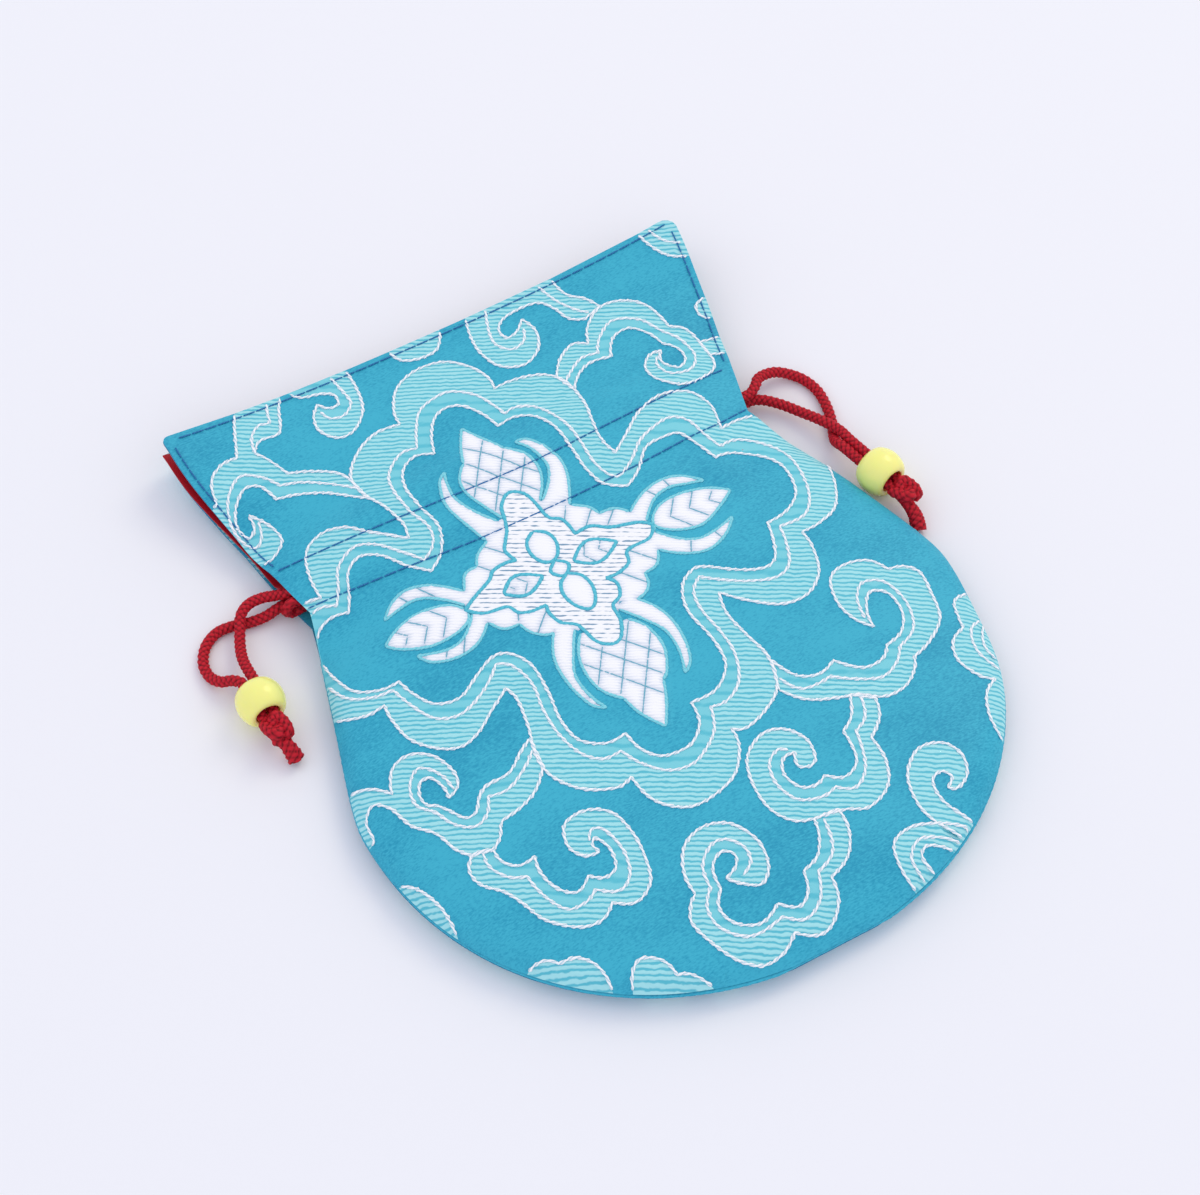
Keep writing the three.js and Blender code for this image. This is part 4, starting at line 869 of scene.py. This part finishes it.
def brocadePanel(step, grid, mirror, spread=0, puffed=False):
    edge = panelOutline(step, spread)
    regions = [(kind, line * (mirror, 1)) for kind, line in patternRegions(step)]
    points, edges = [], []
    for line in [edge] + [line for kind, line in regions]:
        start = len(points)
        points.extend(line)
        edges.extend((start + i, start + (i + 1) % len(line)) for i in range(len(line)))
    filling = fillingRows(grid)
    filling = filling[isInside(filling, edge)]
    apart = brocade["apart"] * (puff["fine"] if puffed else grid)
    if puffed:  # closer points where the white floats swell between what binds them
        binding = bindingPoints()
        finer = np.meshgrid(np.arange(*puff["x"], puff["fine"]), np.arange(*puff["y"], puff["fine"]))
        finer = np.stack(finer, axis=-1).reshape(-1, 2)
        white = np.any([isInside(finer, line) for kind, line in regions if kind == weave["white"]], axis=0)
        filling = np.vstack([binding, finer[white], filling])
    points += clearOf(np.array(points), filling, grid, apart)
    flat, _, faces, _, _, _ = delaunay_2d_cdt([Vector(p) for p in points], edges, [], 0, 1e-5, False)
    flat, faces = np.array([tuple(p) for p in flat]), np.array(faces)
    centres = flat[faces].mean(axis=1)
    kept = isInside(centres, edge)
    faces, centres = faces[kept], centres[kept]
    kinds = np.zeros(len(faces), int)
    for kind, line in regions:
        kinds[isInside(centres, line)] = kind
    used = np.unique(faces)
    place = np.full(len(flat), -1)
    place[used] = np.arange(len(used))
    flat, faces = flat[used], place[faces]
    lift, share = np.zeros(len(flat)), np.zeros(len(flat))
    for corner in range(3):
        np.add.at(lift, faces[:, corner], np.array(brocade["raise"])[kinds])
        np.add.at(share, faces[:, corner], 1)
    lift = lift / share
    swell = np.ones(len(flat))
    if puffed:
        isWhite = kinds == weave["white"]
        inner = np.ones(len(flat), bool)
        inner[faces[~isWhite]] = False
        rim = np.zeros(len(flat), bool)
        rim[faces[isWhite]] = True
        rim &= ~inner
        bound = np.vstack([flat[rim], binding])
        reach = [np.min(np.hypot(*(bound - p).T)) for p in flat[inner]]
        swell[rim] = 0
        swell[inner] = 1 - np.exp(-np.array(reach) / puff["wide"])
        lift[inner] += puff["high"] * swell[inner]
    return flat, faces, kinds, lift, swell


def newMesh(name, points, faces, finishes):
    mesh = bpy.data.meshes.new(name)
    mesh.from_pydata([tuple(p) for p in points], [], [tuple(map(int, f)) for f in faces])
    for finish in finishes:
        mesh.materials.append(finish)
    piece = bpy.data.objects.new(name, mesh)
    bpy.context.scene.collection.objects.link(piece)
    return piece


def pick(piece):
    bpy.ops.object.select_all(action="DESELECT")
    piece.select_set(True)
    bpy.context.view_layer.objects.active = piece


def markPoints(piece, name, values):  # a value on every point, for the finishes to read
    mark = piece.data.attributes.new(name, "FLOAT", "POINT")
    mark.data.foreach_set("value", np.ravel(values).astype(np.float32))


foldAngle = math.radians(40)  # cloth that bends less than this from face to face looks smooth


def thicken(piece, thickness, rim=0):  # a sheet grows down from its upper face
    pick(piece)
    layer = piece.modifiers.new("cloth", "SOLIDIFY")
    layer.thickness = thickness / 1000
    layer.offset = -1
    layer.material_offset_rim = rim
    bpy.ops.object.modifier_apply(modifier=layer.name)
    bpy.ops.object.shade_smooth_by_angle(angle=foldAngle)


def brocadePiece(name, points, faces, kinds, swell):
    piece = newMesh(name, toRow(points), faces, brocadeFinishes)
    piece.data.polygons.foreach_set("material_index", kinds)
    # the swell mark drives the painted shade at the rims of the white floats
    markPoints(piece, "swell", swell)
    thicken(piece, pouch["brocade"], rim=weave["hem"])
    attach(piece, "pouch")
    print(name, "woven:", len(piece.data.polygons), "faces")
    return piece


flat, faces, kinds, lift, swell = brocadePanel(brocade["step"], brocade["grid"], 1, puffed=True)
up = np.column_stack([flat, clothFront(*flat.T) + lift])
frontBrocade = brocadePiece("frontBrocade", up, faces, kinds, swell)
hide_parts("front_panel")

flat, faces, kinds, lift, swell = brocadePanel(brocade["backStep"], brocade["backGrid"], -1,
                                               brocade["backSpread"])
under = clothBack(*flat.T)
down = np.column_stack([flat, under - np.minimum(lift, under)])  # the raised pattern stays over the table
backBrocade = brocadePiece("backBrocade", down, faces[:, ::-1], kinds, swell)
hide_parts("back_panel")

liningCut = {"seam": 1.8, "mouth": 0.8, "notch": 7.0, "notchLong": 2.6, "flapEnd": 4, "least": 1.0,
             "rows": 74, "columns": 40, "frontFlap": (1.3, 0.6), "backFlap": (0.3, -0.5)}


def underFront(x, y):
    return frontHeight(x, y) + flapSettle(x, y) - pouch["brocade"] - pocketDepth(y)


def overBack(x, y):
    return clothBack(x, y) + pouch["brocade"] + pocketDepth(y)


def liningSheet(name, height, upward, flapInset):
    cut = liningCut
    y = np.linspace(lowestRow + cut["seam"], pouch["length"] - cut["mouth"], cut["rows"])
    loose = mix(*flapInset, ease(y, channelTop, pouch["length"] - cut["flapEnd"]))
    inset = mix(cut["seam"], loose, ease(y, pouch["waist"], channelTop))
    inset = inset + (cut["notch"] - inset) * np.exp(-(((y - channelMiddle) / cut["notchLong"]) ** 4))
    u = np.sin(np.linspace(-math.pi / 2, math.pi / 2, cut["columns"]))
    reach = np.maximum(sideWidth(u[None, :], y[:, None]) - inset[:, None], cut["least"])
    x = reach * u[None, :]
    yy = np.repeat(y[:, None], len(u), axis=1)
    points = np.stack([x, yy, height(x, yy)], axis=-1).reshape(-1, 3)
    wide = len(u)
    quads = [(j * wide + i, j * wide + i + 1, (j + 1) * wide + i + 1, (j + 1) * wide + i)
             for j in range(len(y) - 1) for i in range(wide - 1)]
    if not upward:
        quads = [q[::-1] for q in quads]
    piece = newMesh(name, toRow(points), quads, [liningFinish])
    thicken(piece, pouch["lining"])
    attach(piece, "pouch")
    return piece


frontLining = liningSheet("frontLining", underFront, True, liningCut["frontFlap"])
backLining = liningSheet("backLining", overBack, False, liningCut["backFlap"])
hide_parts("front_lining")
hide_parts("back_lining")
print("linings laid")

# threads: round yarns of two plies laid along the lines of the pattern


def onCloth(line, margin):  # the parts of a line that lie on the panel
    x, y = line.T
    beside = np.abs(x) < sideWidth(x, y) - margin
    return stretchesOf(line, beside & (y < pouch["length"] - margin) & (y > lowestRow + margin))


def clothNormal(height, flat, reach=0.3):
    x, y = flat.T
    slopeX = (height(x + reach, y) - height(x - reach, y)) / (2 * reach)
    slopeY = (height(x, y + reach) - height(x, y - reach)) / (2 * reach)
    normal = np.column_stack([-slopeX, -slopeY, np.ones(len(flat))])
    return normal / np.linalg.norm(normal, axis=1)[:, None]


def tubeFaces(rings, sides, start=0):  # between rings of points, with a cap on each end
    i = np.arange(rings - 1)[:, None] * sides + start
    j = np.arange(sides)[None, :]
    k = (j + 1) % sides
    quads = np.stack([i + j, i + k, i + sides + k, i + sides + j], axis=-1).reshape(-1, 4)
    cap = np.arange(sides) + start
    return [*quads, cap[::-1], cap + (rings - 1) * sides]


shake = np.random.default_rng(11)
yarnEnd = 0.35  # a yarn's last ring is this share as thick


def yarnPiece(name, lines, yarn, finish, height, margin=0.35):
    sides = yarn["sides"]
    angle = np.linspace(0, 2 * math.pi, sides, endpoint=False)
    points, faces, ply, start = [], [], [], 0
    for flat in [stretch for line in lines for stretch in onCloth(evenly(line, yarn["step"]), margin)]:
        n = len(flat)
        normal = clothNormal(height, flat)
        centre = np.column_stack([flat, height(*flat.T)]) + normal * yarn["lift"]
        along = np.gradient(centre, axis=0)
        along /= np.linalg.norm(along, axis=1)[:, None]
        side = np.cross(along, normal)
        side /= np.linalg.norm(side, axis=1)[:, None]
        travel = np.arange(n)[:, None] * yarn["step"]
        wave = np.cos(2 * (angle[None, :] - math.pi * travel / yarn["pitch"]))
        uneven = 1 + yarn["rough"] * shake.uniform(-1, 1, (n, 1))
        radius = yarn["radius"] * (1 + yarn["twist"] * wave) * uneven
        radius[[0, -1]] *= yarnEnd
        centre = centre + side * yarn["rough"] * yarn["radius"] * shake.uniform(-0.5, 0.5, (n, 1))
        around = side[:, None, :] * (radius * np.cos(angle))[:, :, None]
        around += normal[:, None, :] * (yarn["flat"] * radius * np.sin(angle))[:, :, None]
        points.append((centre[:, None, :] + around).reshape(-1, 3))
        # ply is 0 in the grooves between the plies, where the thread finish paints shade
        ply.append((0.5 + 0.5 * wave).reshape(-1))
        faces += tubeFaces(n, sides, start)
        start += n * sides
    piece = newMesh(name, toRow(np.vstack(points)), faces, [finish])
    markPoints(piece, "ply", np.concatenate(ply))
    pick(piece)
    bpy.ops.object.mode_set(mode="EDIT")
    bpy.ops.mesh.select_all(action="SELECT")
    bpy.ops.mesh.normals_make_consistent(inside=False)
    bpy.ops.object.mode_set(mode="OBJECT")
    bpy.ops.object.shade_smooth()
    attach(piece, "pouch")
    return piece


outlineYarn = {"radius": 0.27, "flat": 0.7, "twist": 0.26, "pitch": 1.5, "lift": 0.14, "step": 0.3,
               "sides": 6, "rough": 0.3}
plateYarn = {"radius": 0.36, "flat": 0.45, "twist": 0.1, "pitch": 0.9, "lift": 0.22, "step": 0.4,
             "sides": 6, "rough": 0.12}
edgeYarn = {"radius": 0.31, "flat": 0.45, "twist": 0.1, "pitch": 0.8, "lift": 0.14, "step": 0.35,
            "sides": 6, "rough": 0.2}
veinYarn = {"radius": 0.15, "flat": 0.5, "twist": 0.1, "pitch": 0.8, "lift": 0.17, "step": 0.5,
            "sides": 5, "rough": 0.2}


def cloudLines(step):
    lines = []
    for cloud in clouds.values():
        closed = wholeLine(cloud["outline"], step)
        lines.append(np.vstack([closed, closed[:1]]))
        if "inside" in cloud:
            lines.append(wholeLine(cloud["inside"], step))
        lines.extend(wholeLine(extra, step) for extra in cloud.get("extra", ()))
    return lines


ringLines = [wholeLine(ring[name], lineStep) for name in ring]
edgeLines, plateLines, veinLines = figureLines(lineStep)
patternYarns = (
    yarnPiece("ringYarn", ringLines, outlineYarn, whiteThread, clothFront),
    yarnPiece("cloudYarn", cloudLines(lineStep), outlineYarn, whiteThread, clothFront),
    yarnPiece("figureEdge", edgeLines, edgeYarn, paleThread, clothFront),
    yarnPiece("plateEdge", plateLines, plateYarn, plateThread, clothFront),
    yarnPiece("figureVeins", veinLines, veinYarn, veinThread, clothFront),
)
print("pattern yarns laid:", ", ".join(f"{yarn.name} {len(yarn.data.polygons)}" for yarn in patternYarns))

stitch = {"long": 2.5, "pitch": 2.6, "fine": 0.1, "inset": 1.3, "margin": 0.2, "rowEnds": (-48, 46.5),
          "flapStart": 1.5, "cornerGap": 0.6}
stitchYarn = {"radius": 0.15, "flat": 0.8, "twist": 0.15, "pitch": 0.7, "lift": 0.2, "step": 0.25,
              "sides": 6, "rough": 0.1}


def stitchesAlong(line):
    run = evenly(line, stitch["fine"])
    every, long = round(stitch["pitch"] / stitch["fine"]), round(stitch["long"] / stitch["fine"])
    return [run[i: i + long] for i in range(0, len(run) - long, every)]


def flapEdge():
    row, gap = pouch["length"] - stitch["inset"], stitch["cornerGap"]
    y = np.linspace(channelTop + stitch["flapStart"], row, 60)
    sides = [np.column_stack([hand * (sideWidth(hand, y) - stitch["inset"]), y]) for hand in (1, -1)]
    x = np.linspace(sides[0][-1, 0] - gap, sides[1][-1, 0] + gap, 200)
    return [*sides, np.column_stack([x, np.full(len(x), row)])]


stitchLines = []
for name in stitchRows:
    x = np.linspace(*stitch["rowEnds"], 300)
    stitchLines += stitchesAlong(np.column_stack([x, rowHeight(name, x)]))
for line in flapEdge():
    stitchLines += stitchesAlong(line)
stitches = yarnPiece("stitches", stitchLines, stitchYarn, stitchThread, clothFront, margin=stitch["margin"])
print("stitches sewn:", len(stitchLines))

# the rolled seam that joins the panels from one side of the waist round to the other
seam = {"firstAngle": 8, "inset": 0.4, "pastOpening": 2, "margin": 0.2}
seamYarn = {"radius": 0.5, "flat": 0.85, "twist": 0.08, "pitch": 1.6, "lift": 0, "step": 0.6,
            "sides": 8, "rough": 0.03}


def seamHeight(x, y):
    return np.full(np.shape(x), pouch["seam"])


y = np.concatenate([bottomRows(math.radians(seam["firstAngle"]), 90),
                    np.arange(pouch["widest"] + 1, seamOpens + seam["pastOpening"], 1)])
seamRow = np.maximum(y, lowestRow + seam["inset"])
halves = [np.column_stack([hand * (sideWidth(hand, y) - seam["inset"]), seamRow]) for hand in (1, -1)]
seamLine = np.vstack([halves[0][::-1], halves[1]])
sideSeam = yarnPiece("sideSeam", [seamLine], seamYarn, brocadeFinishes[weave["ground"]], seamHeight,
                     margin=seam["margin"])
print("side seam rolled")

# cords: a round braid, shaped ring by ring along its way

# The solids leave "strandShort" between a strand and its knot. Here the strand runs on into the knot.
bead = {"diameter": 9.0, "length": 6.4, "bore": 4.5, "face": 6.2, "seat": 0.3, "strandGap": 0.2,
        "strandShort": 0.3, "intoKnot": 1.6, "pinch": 0.6, "bulge": 0.62, "rows": 15, "steps": 56,
        "lip": 0.35, "lipRound": 0.1, "boreEdge": 0.06, "smoothAngle": 50}
beadPlaces = {
    "left": {"centre": (-62.7, 91.2, 4.5), "towards": (0.0, 1.0)},
    "right": {"centre": (59.2, 79.6, 4.5), "towards": (-0.2201, 0.97548)},
}
strands = {  # from the channel to the bead
    "leftFront": [(-50, 110.4, 4), (-52.6, 111.4, 3.7), (-55.3, 111.5, 3.4), (-57.4, 110.2, 3.1),
                  (-58.8, 107.8, 2.6), (-60.3, 104.6, 2.4), (-61.3, 101, 3.3)],
    "leftBack": [(-50, 109, 2.2), (-53.4, 108.8, 1.6), (-56.6, 109.5, 1), (-59.4, 110.3, 0.97),
                 (-62.5, 110.3, 0.97), (-65.4, 108.6, 0.97), (-67.3, 105.6, 0.97), (-67.6, 102.4, 1.3),
                 (-66.6, 99.8, 2.3), (-64.9, 98.1, 3.7)],
    "rightFront": [(49.4, 108.2, 4.2), (51.6, 110.2, 3.4), (55.6, 110.6, 2.1), (59.2, 108, 1.1),
                   (60.6, 104.2, 0.97), (60.3, 100.1, 0.97), (59.2, 96.2, 0.97), (57.6, 93, 1.3),
                   (56.4, 90.4, 3)],
    "rightBack": [(49.6, 106.2, 2.3), (52.4, 103.6, 2.1), (54.8, 99.8, 2.3), (56.7, 95.8, 3.1),
                  (58.1, 92, 3.7)],
}
braid = {"around": 4, "cell": 1.1, "depth": 0.34, "mean": 0.62, "acrossPower": 0.55, "alongPower": 0.7,
         "sides": 28, "step": 0.18, "hiddenStep": 0.4, "routeStep": 0.15, "flareFrom": 0.82}
cordFinish, cordTree, cordShader = newFinish("redCord", (190, 24, 40), 0.6, shine=0.2)
# painted shade in the braid's grooves and painted highlight on its raised strands
paint(cordTree, cordShader, addMark(cordTree, "braid"), (0.18, (94, 4, 14)), (0.82, (200, 25, 43)))


def braidRelief(turn, along):
    u = turn * braid["around"] + along / braid["cell"]
    v = turn * braid["around"] - along / braid["cell"]
    over = (np.floor(u) + np.floor(v)) % 2 == 0
    fu, fv = u - np.floor(u), v - np.floor(v)
    wide = np.sin(math.pi * np.where(over, fu, fv)) ** braid["acrossPower"]
    long = np.sin(math.pi * np.where(over, fv, fu)) ** braid["alongPower"]
    return wide * (0.5 + 0.5 * long)


def braidedCord(name, route, radius=cordRadius, step=braid["step"], ends=(0.6, 0.6), flare=0):
    path = evenly(smoothStroke(route, braid["routeStep"]), step)
    n, sides = len(path), braid["sides"]
    along = np.gradient(path, axis=0)
    along /= np.linalg.norm(along, axis=1)[:, None]
    side = np.cross(along[0], (0, 0, 1.0))
    if np.linalg.norm(side) < 0.1:
        side = np.cross(along[0], (0, 1.0, 0))
    side /= np.linalg.norm(side)
    frames = []
    for direction in along:  # carried along without twisting
        side = side - direction * np.dot(side, direction)
        side /= np.linalg.norm(side)
        frames.append((side, np.cross(direction, side)))
    turn = np.linspace(0, 1, sides, endpoint=False)
    travel = np.arange(n)[:, None] * step
    relief = braidRelief(turn[None, :], travel)
    grow = radius * (1 + flare * ease(travel, braid["flareFrom"] * travel[-1], travel[-1]))
    grow[[0, -1]] *= np.array(ends)[:, None]
    reach = grow * (1 + braid["depth"] * (relief - braid["mean"]))
    a, b = np.array(frames).transpose(1, 0, 2)[:, :, None, :]
    angle = 2 * math.pi * turn[None, :, None]
    points = path[:, None, :] + reach[:, :, None] * (a * np.cos(angle) + b * np.sin(angle))
    points[..., 2] = np.maximum(points[..., 2], 0)  # pressed flat where it lies on the table
    piece = newMesh(name, toRow(points.reshape(-1, 3)), tubeFaces(n, sides), [cordFinish])
    # the braid mark drives the cord's painted shade and highlight
    markPoints(piece, "braid", relief)
    pick(piece)
    bpy.ops.object.shade_smooth()
    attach(piece, "pouch")
    return piece, toRow(path)


def beadAxes(side):  # the bead's middle, the way along its bore and the way across it
    towards = np.array([*beadPlaces[side]["towards"], 0.0])
    return np.array(beadPlaces[side]["centre"]), towards, np.array([towards[1], -towards[0], 0.0])


def throughBead(side, hand, clear):  # from beyond the bead into the knot
    centre, towards, aside = beadAxes(side)
    start = bead["length"] / 2 + clear
    stop = -(bead["length"] / 2 + bead["seat"] - bead["strandShort"])
    shift = aside * hand * (cordRadius + bead["strandGap"] / 2)
    way = (start, mix(start, stop, 0.5), stop, stop - bead["intoKnot"])
    return [centre + towards * far + shift * (bead["pinch"] if far < stop else 1) for far in way]


def channelRun(front, y, start, stop):
    inset = pouch["brocade"] + pouch["clearance"] + cordRadius
    x = [mix(start, stop, (s + 1) / 2) * float(halfWidth(y)) for s in (-1, -0.75, -0.4, 0, 0.4, 0.75, 1)]
    return [(v, y, float(frontHeight(v, y) - inset if front else backHeight(v, y) + inset)) for v in x]


bendRoom = 1.5  # the channel run stops this far before a bend that lies inside the edge
cordRuns = {  # "turn" is the bend at the far side: millimetres past the edge, height
    "left": {"hand": -1, "offset": 1.075, "sides": (1, -1), "clear": 1.6,
             "turn": [(-2.6, 5.2), (-1.7, 3.7), (-2.6, 2.3)]},
    "right": {"hand": 1, "offset": -1.075, "sides": (-1, 1), "clear": 5.6,
              "turn": [(1.9, 4.9), (3.1, 3.4), (1.9, 1.9)]},
}
for side, run in cordRuns.items():
    y = channelMiddle + run["offset"]
    edge = float(halfWidth(y))
    short = min(0, run["turn"][0][0] - bendRoom) / edge
    front = channelRun(True, y, run["hand"], -run["hand"] * (1 + short))
    back = channelRun(False, y, -run["hand"] * (1 + short), run["hand"])
    bend = [(-run["hand"] * (edge + out), y, z) for out, z in run["turn"]]
    hidden, _ = braidedCord(side + "ChannelCord", front[1:] + bend + back[:-1], step=braid["hiddenStep"])
    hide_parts(side + "_drawstring")
    for half, inner, hand in zip(("Front", "Back"), (front[:2], back[-2:][::-1]), run["sides"]):
        route = [*inner[::-1], *strands[side + half], *throughBead(side, hand, run["clear"])]
        piece, path = braidedCord(side + half + "Cord", route)
        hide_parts(side + "_drawstring")
        toRow(inner[0])

# beads: a barrel turned about its bore

beadFinish, _, beadShader = newFinish("yellowResin", (255, 249, 140), 0.22, shine=0.5, coat=0.3)
beadShader.inputs["Subsurface Weight"].default_value = 0.35
beadShader.inputs["Subsurface Radius"].default_value = (0.004, 0.003, 0.0008)
# painted glow: the bore's faces a deeper orange, for the light that passes through the resin around the bore
boreGlowFinish = newFinish("paintedBoreGlow", (240, 170, 50), 0.3)[0]


def barrelBead(side):
    place = beadPlaces[side]
    bore, face, full, end = bead["bore"] / 2, bead["face"] / 2, bead["diameter"] / 2, bead["length"] / 2
    lip, lipRound = bead["lip"], bead["lipRound"]
    rim = [(bore, end - lip), (bore + lipRound, end - lipRound), (bore + lip, end)]
    profile = [(r, -s) for r, s in rim]
    for s in np.linspace(-1, 1, bead["rows"]):
        profile.append((mix(face, full, math.cos(s * math.pi / 2) ** bead["bulge"]), s * end))
    profile += rim[::-1]
    points = [(r / 1000, s / 1000, 0) for r, s in profile]
    piece = newMesh(side + "Bead", points, [], [beadFinish, boreGlowFinish])
    piece.data.edges.add(len(points))
    for i, line in enumerate(piece.data.edges):
        line.vertices = (i, (i + 1) % len(points))
    pick(piece)
    bpy.ops.object.mode_set(mode="EDIT")
    bpy.ops.mesh.select_all(action="SELECT")
    bpy.ops.mesh.spin(steps=bead["steps"], angle=2 * math.pi, center=(0, 0, 0), axis=(0, 1, 0))
    bpy.ops.mesh.select_all(action="SELECT")
    bpy.ops.mesh.remove_doubles(threshold=1e-6)
    bpy.ops.mesh.normals_make_consistent(inside=False)
    bpy.ops.object.mode_set(mode="OBJECT")
    # the faces at the bore take the painted orange glow
    for polygon in piece.data.polygons:
        out = math.hypot(polygon.center.x, polygon.center.z) * 1000
        polygon.material_index = int(out < bore + bead["boreEdge"])
    angle = math.atan2(-place["towards"][0], place["towards"][1])
    piece.data.transform(Matrix.Translation(Vector(toRow(place["centre"]))) @ Matrix.Rotation(angle, 4, "Z"))
    bpy.ops.object.shade_smooth_by_angle(angle=math.radians(bead["smoothAngle"]))
    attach(piece, side + "_bead")
    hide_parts(side + "_bead")


for side in beadPlaces:
    barrelBead(side)
print("beads turned")

# knots: a tight overhand knot of the cord, with a short tail

knot = {"diameter": 5.4, "length": 5.8, "open": (0.35, 0.25), "points": 40, "swing": 1.75,
        "lead": (0.6, 2.6, 0.3), "thicker": 1.1, "step": 0.26, "ends": (0.5, 1.0), "flare": 0.4}
knotTails = {"left": [(0.4, -3.2, -1.5), (0.9, -5.4, -3.4)],
             "right": [(-1.1, -3.6, -1.7), (-2.4, -6.2, -3.4)]}


def overhandKnot(side):
    middleOfBead, towards, aside = beadAxes(side)
    upward = np.array([0, 0, 1.0])
    centre = middleOfBead - towards * (bead["length"] / 2 + bead["seat"] + knot["length"] / 2)
    wide = (knot["diameter"] / 2 - cordRadius) / 3
    local = [knot["lead"]]
    for a in np.linspace(knot["open"][0], 2 * math.pi - knot["open"][1], knot["points"]):
        x = (math.sin(a) + 2 * math.sin(2 * a)) * wide
        z = (math.cos(a) - 2 * math.cos(2 * a)) * wide
        local.append((x, -math.sin(3 * a) * knot["swing"], z))
    local += knotTails[side]
    route = [centre + aside * x + towards * y + upward * z for x, y, z in local]
    piece, _ = braidedCord(side + "Knot", route, radius=cordRadius * knot["thicker"], step=knot["step"],
                           ends=knot["ends"], flare=knot["flare"])
    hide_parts(side + "_knot")


for side in beadPlaces:
    overhandKnot(side)
print("knots tied")

# floor, light and camera

table = {"size": 6, "height": -0.00005, "color": (243, 243, 246)}  # metres, just under the cloth
floorFinish = newFinish("paleTable", table["color"], 0.9, shine=0.1)[0]
bpy.ops.object.select_all(action="DESELECT")
bpy.ops.mesh.primitive_plane_add(size=table["size"], location=(0, 0, table["height"]))
floor = bpy.context.object
floor.name = "floor"
floor.data.materials.append(floorFinish)

studio = {"color": (0.875, 0.89, 1.0, 1), "strength": 0.985}
sky = bpy.data.worlds.new("studio")
bpy.context.scene.world = sky
sky.use_nodes = True
sky.node_tree.nodes["Background"].inputs["Color"].default_value = studio["color"]
sky.node_tree.nodes["Background"].inputs["Strength"].default_value = studio["strength"]

keyLight = {"from": (1.4, 0.56, 1.5), "size": 0.9, "power": 7.5, "color": (1.0, 0.92, 0.6)}
bpy.ops.object.light_add(type="AREA", location=keyLight["from"])
lamp = bpy.context.object
lamp.name = "softbox"
lamp.data.size = keyLight["size"]
lamp.data.energy = keyLight["power"]
lamp.data.color = keyLight["color"]
lamp.rotation_euler = (-Vector(keyLight["from"])).to_track_quat("-Z", "Y").to_euler()

shot = {"at": (-0.1592, -0.27358, 0.48217), "right": (0.86896, -0.49488, 0), "up": (0.41027, 0.7204, 0.55919),
        "lens": 96, "sensor": 36, "near": 0.01}
bpy.ops.object.camera_add(location=shot["at"])
camera = bpy.context.object
camera.name = "photoCamera"
right, upward = Vector(shot["right"]).normalized(), Vector(shot["up"]).normalized()
camera.rotation_euler = Matrix((right, upward, right.cross(upward))).transposed().to_euler()
camera.data.lens = shot["lens"]
camera.data.sensor_width = shot["sensor"]
camera.data.clip_start = shot["near"]
bpy.context.scene.camera = camera
bpy.context.scene.view_settings.view_transform = "Standard"
print("floor, light and camera set")
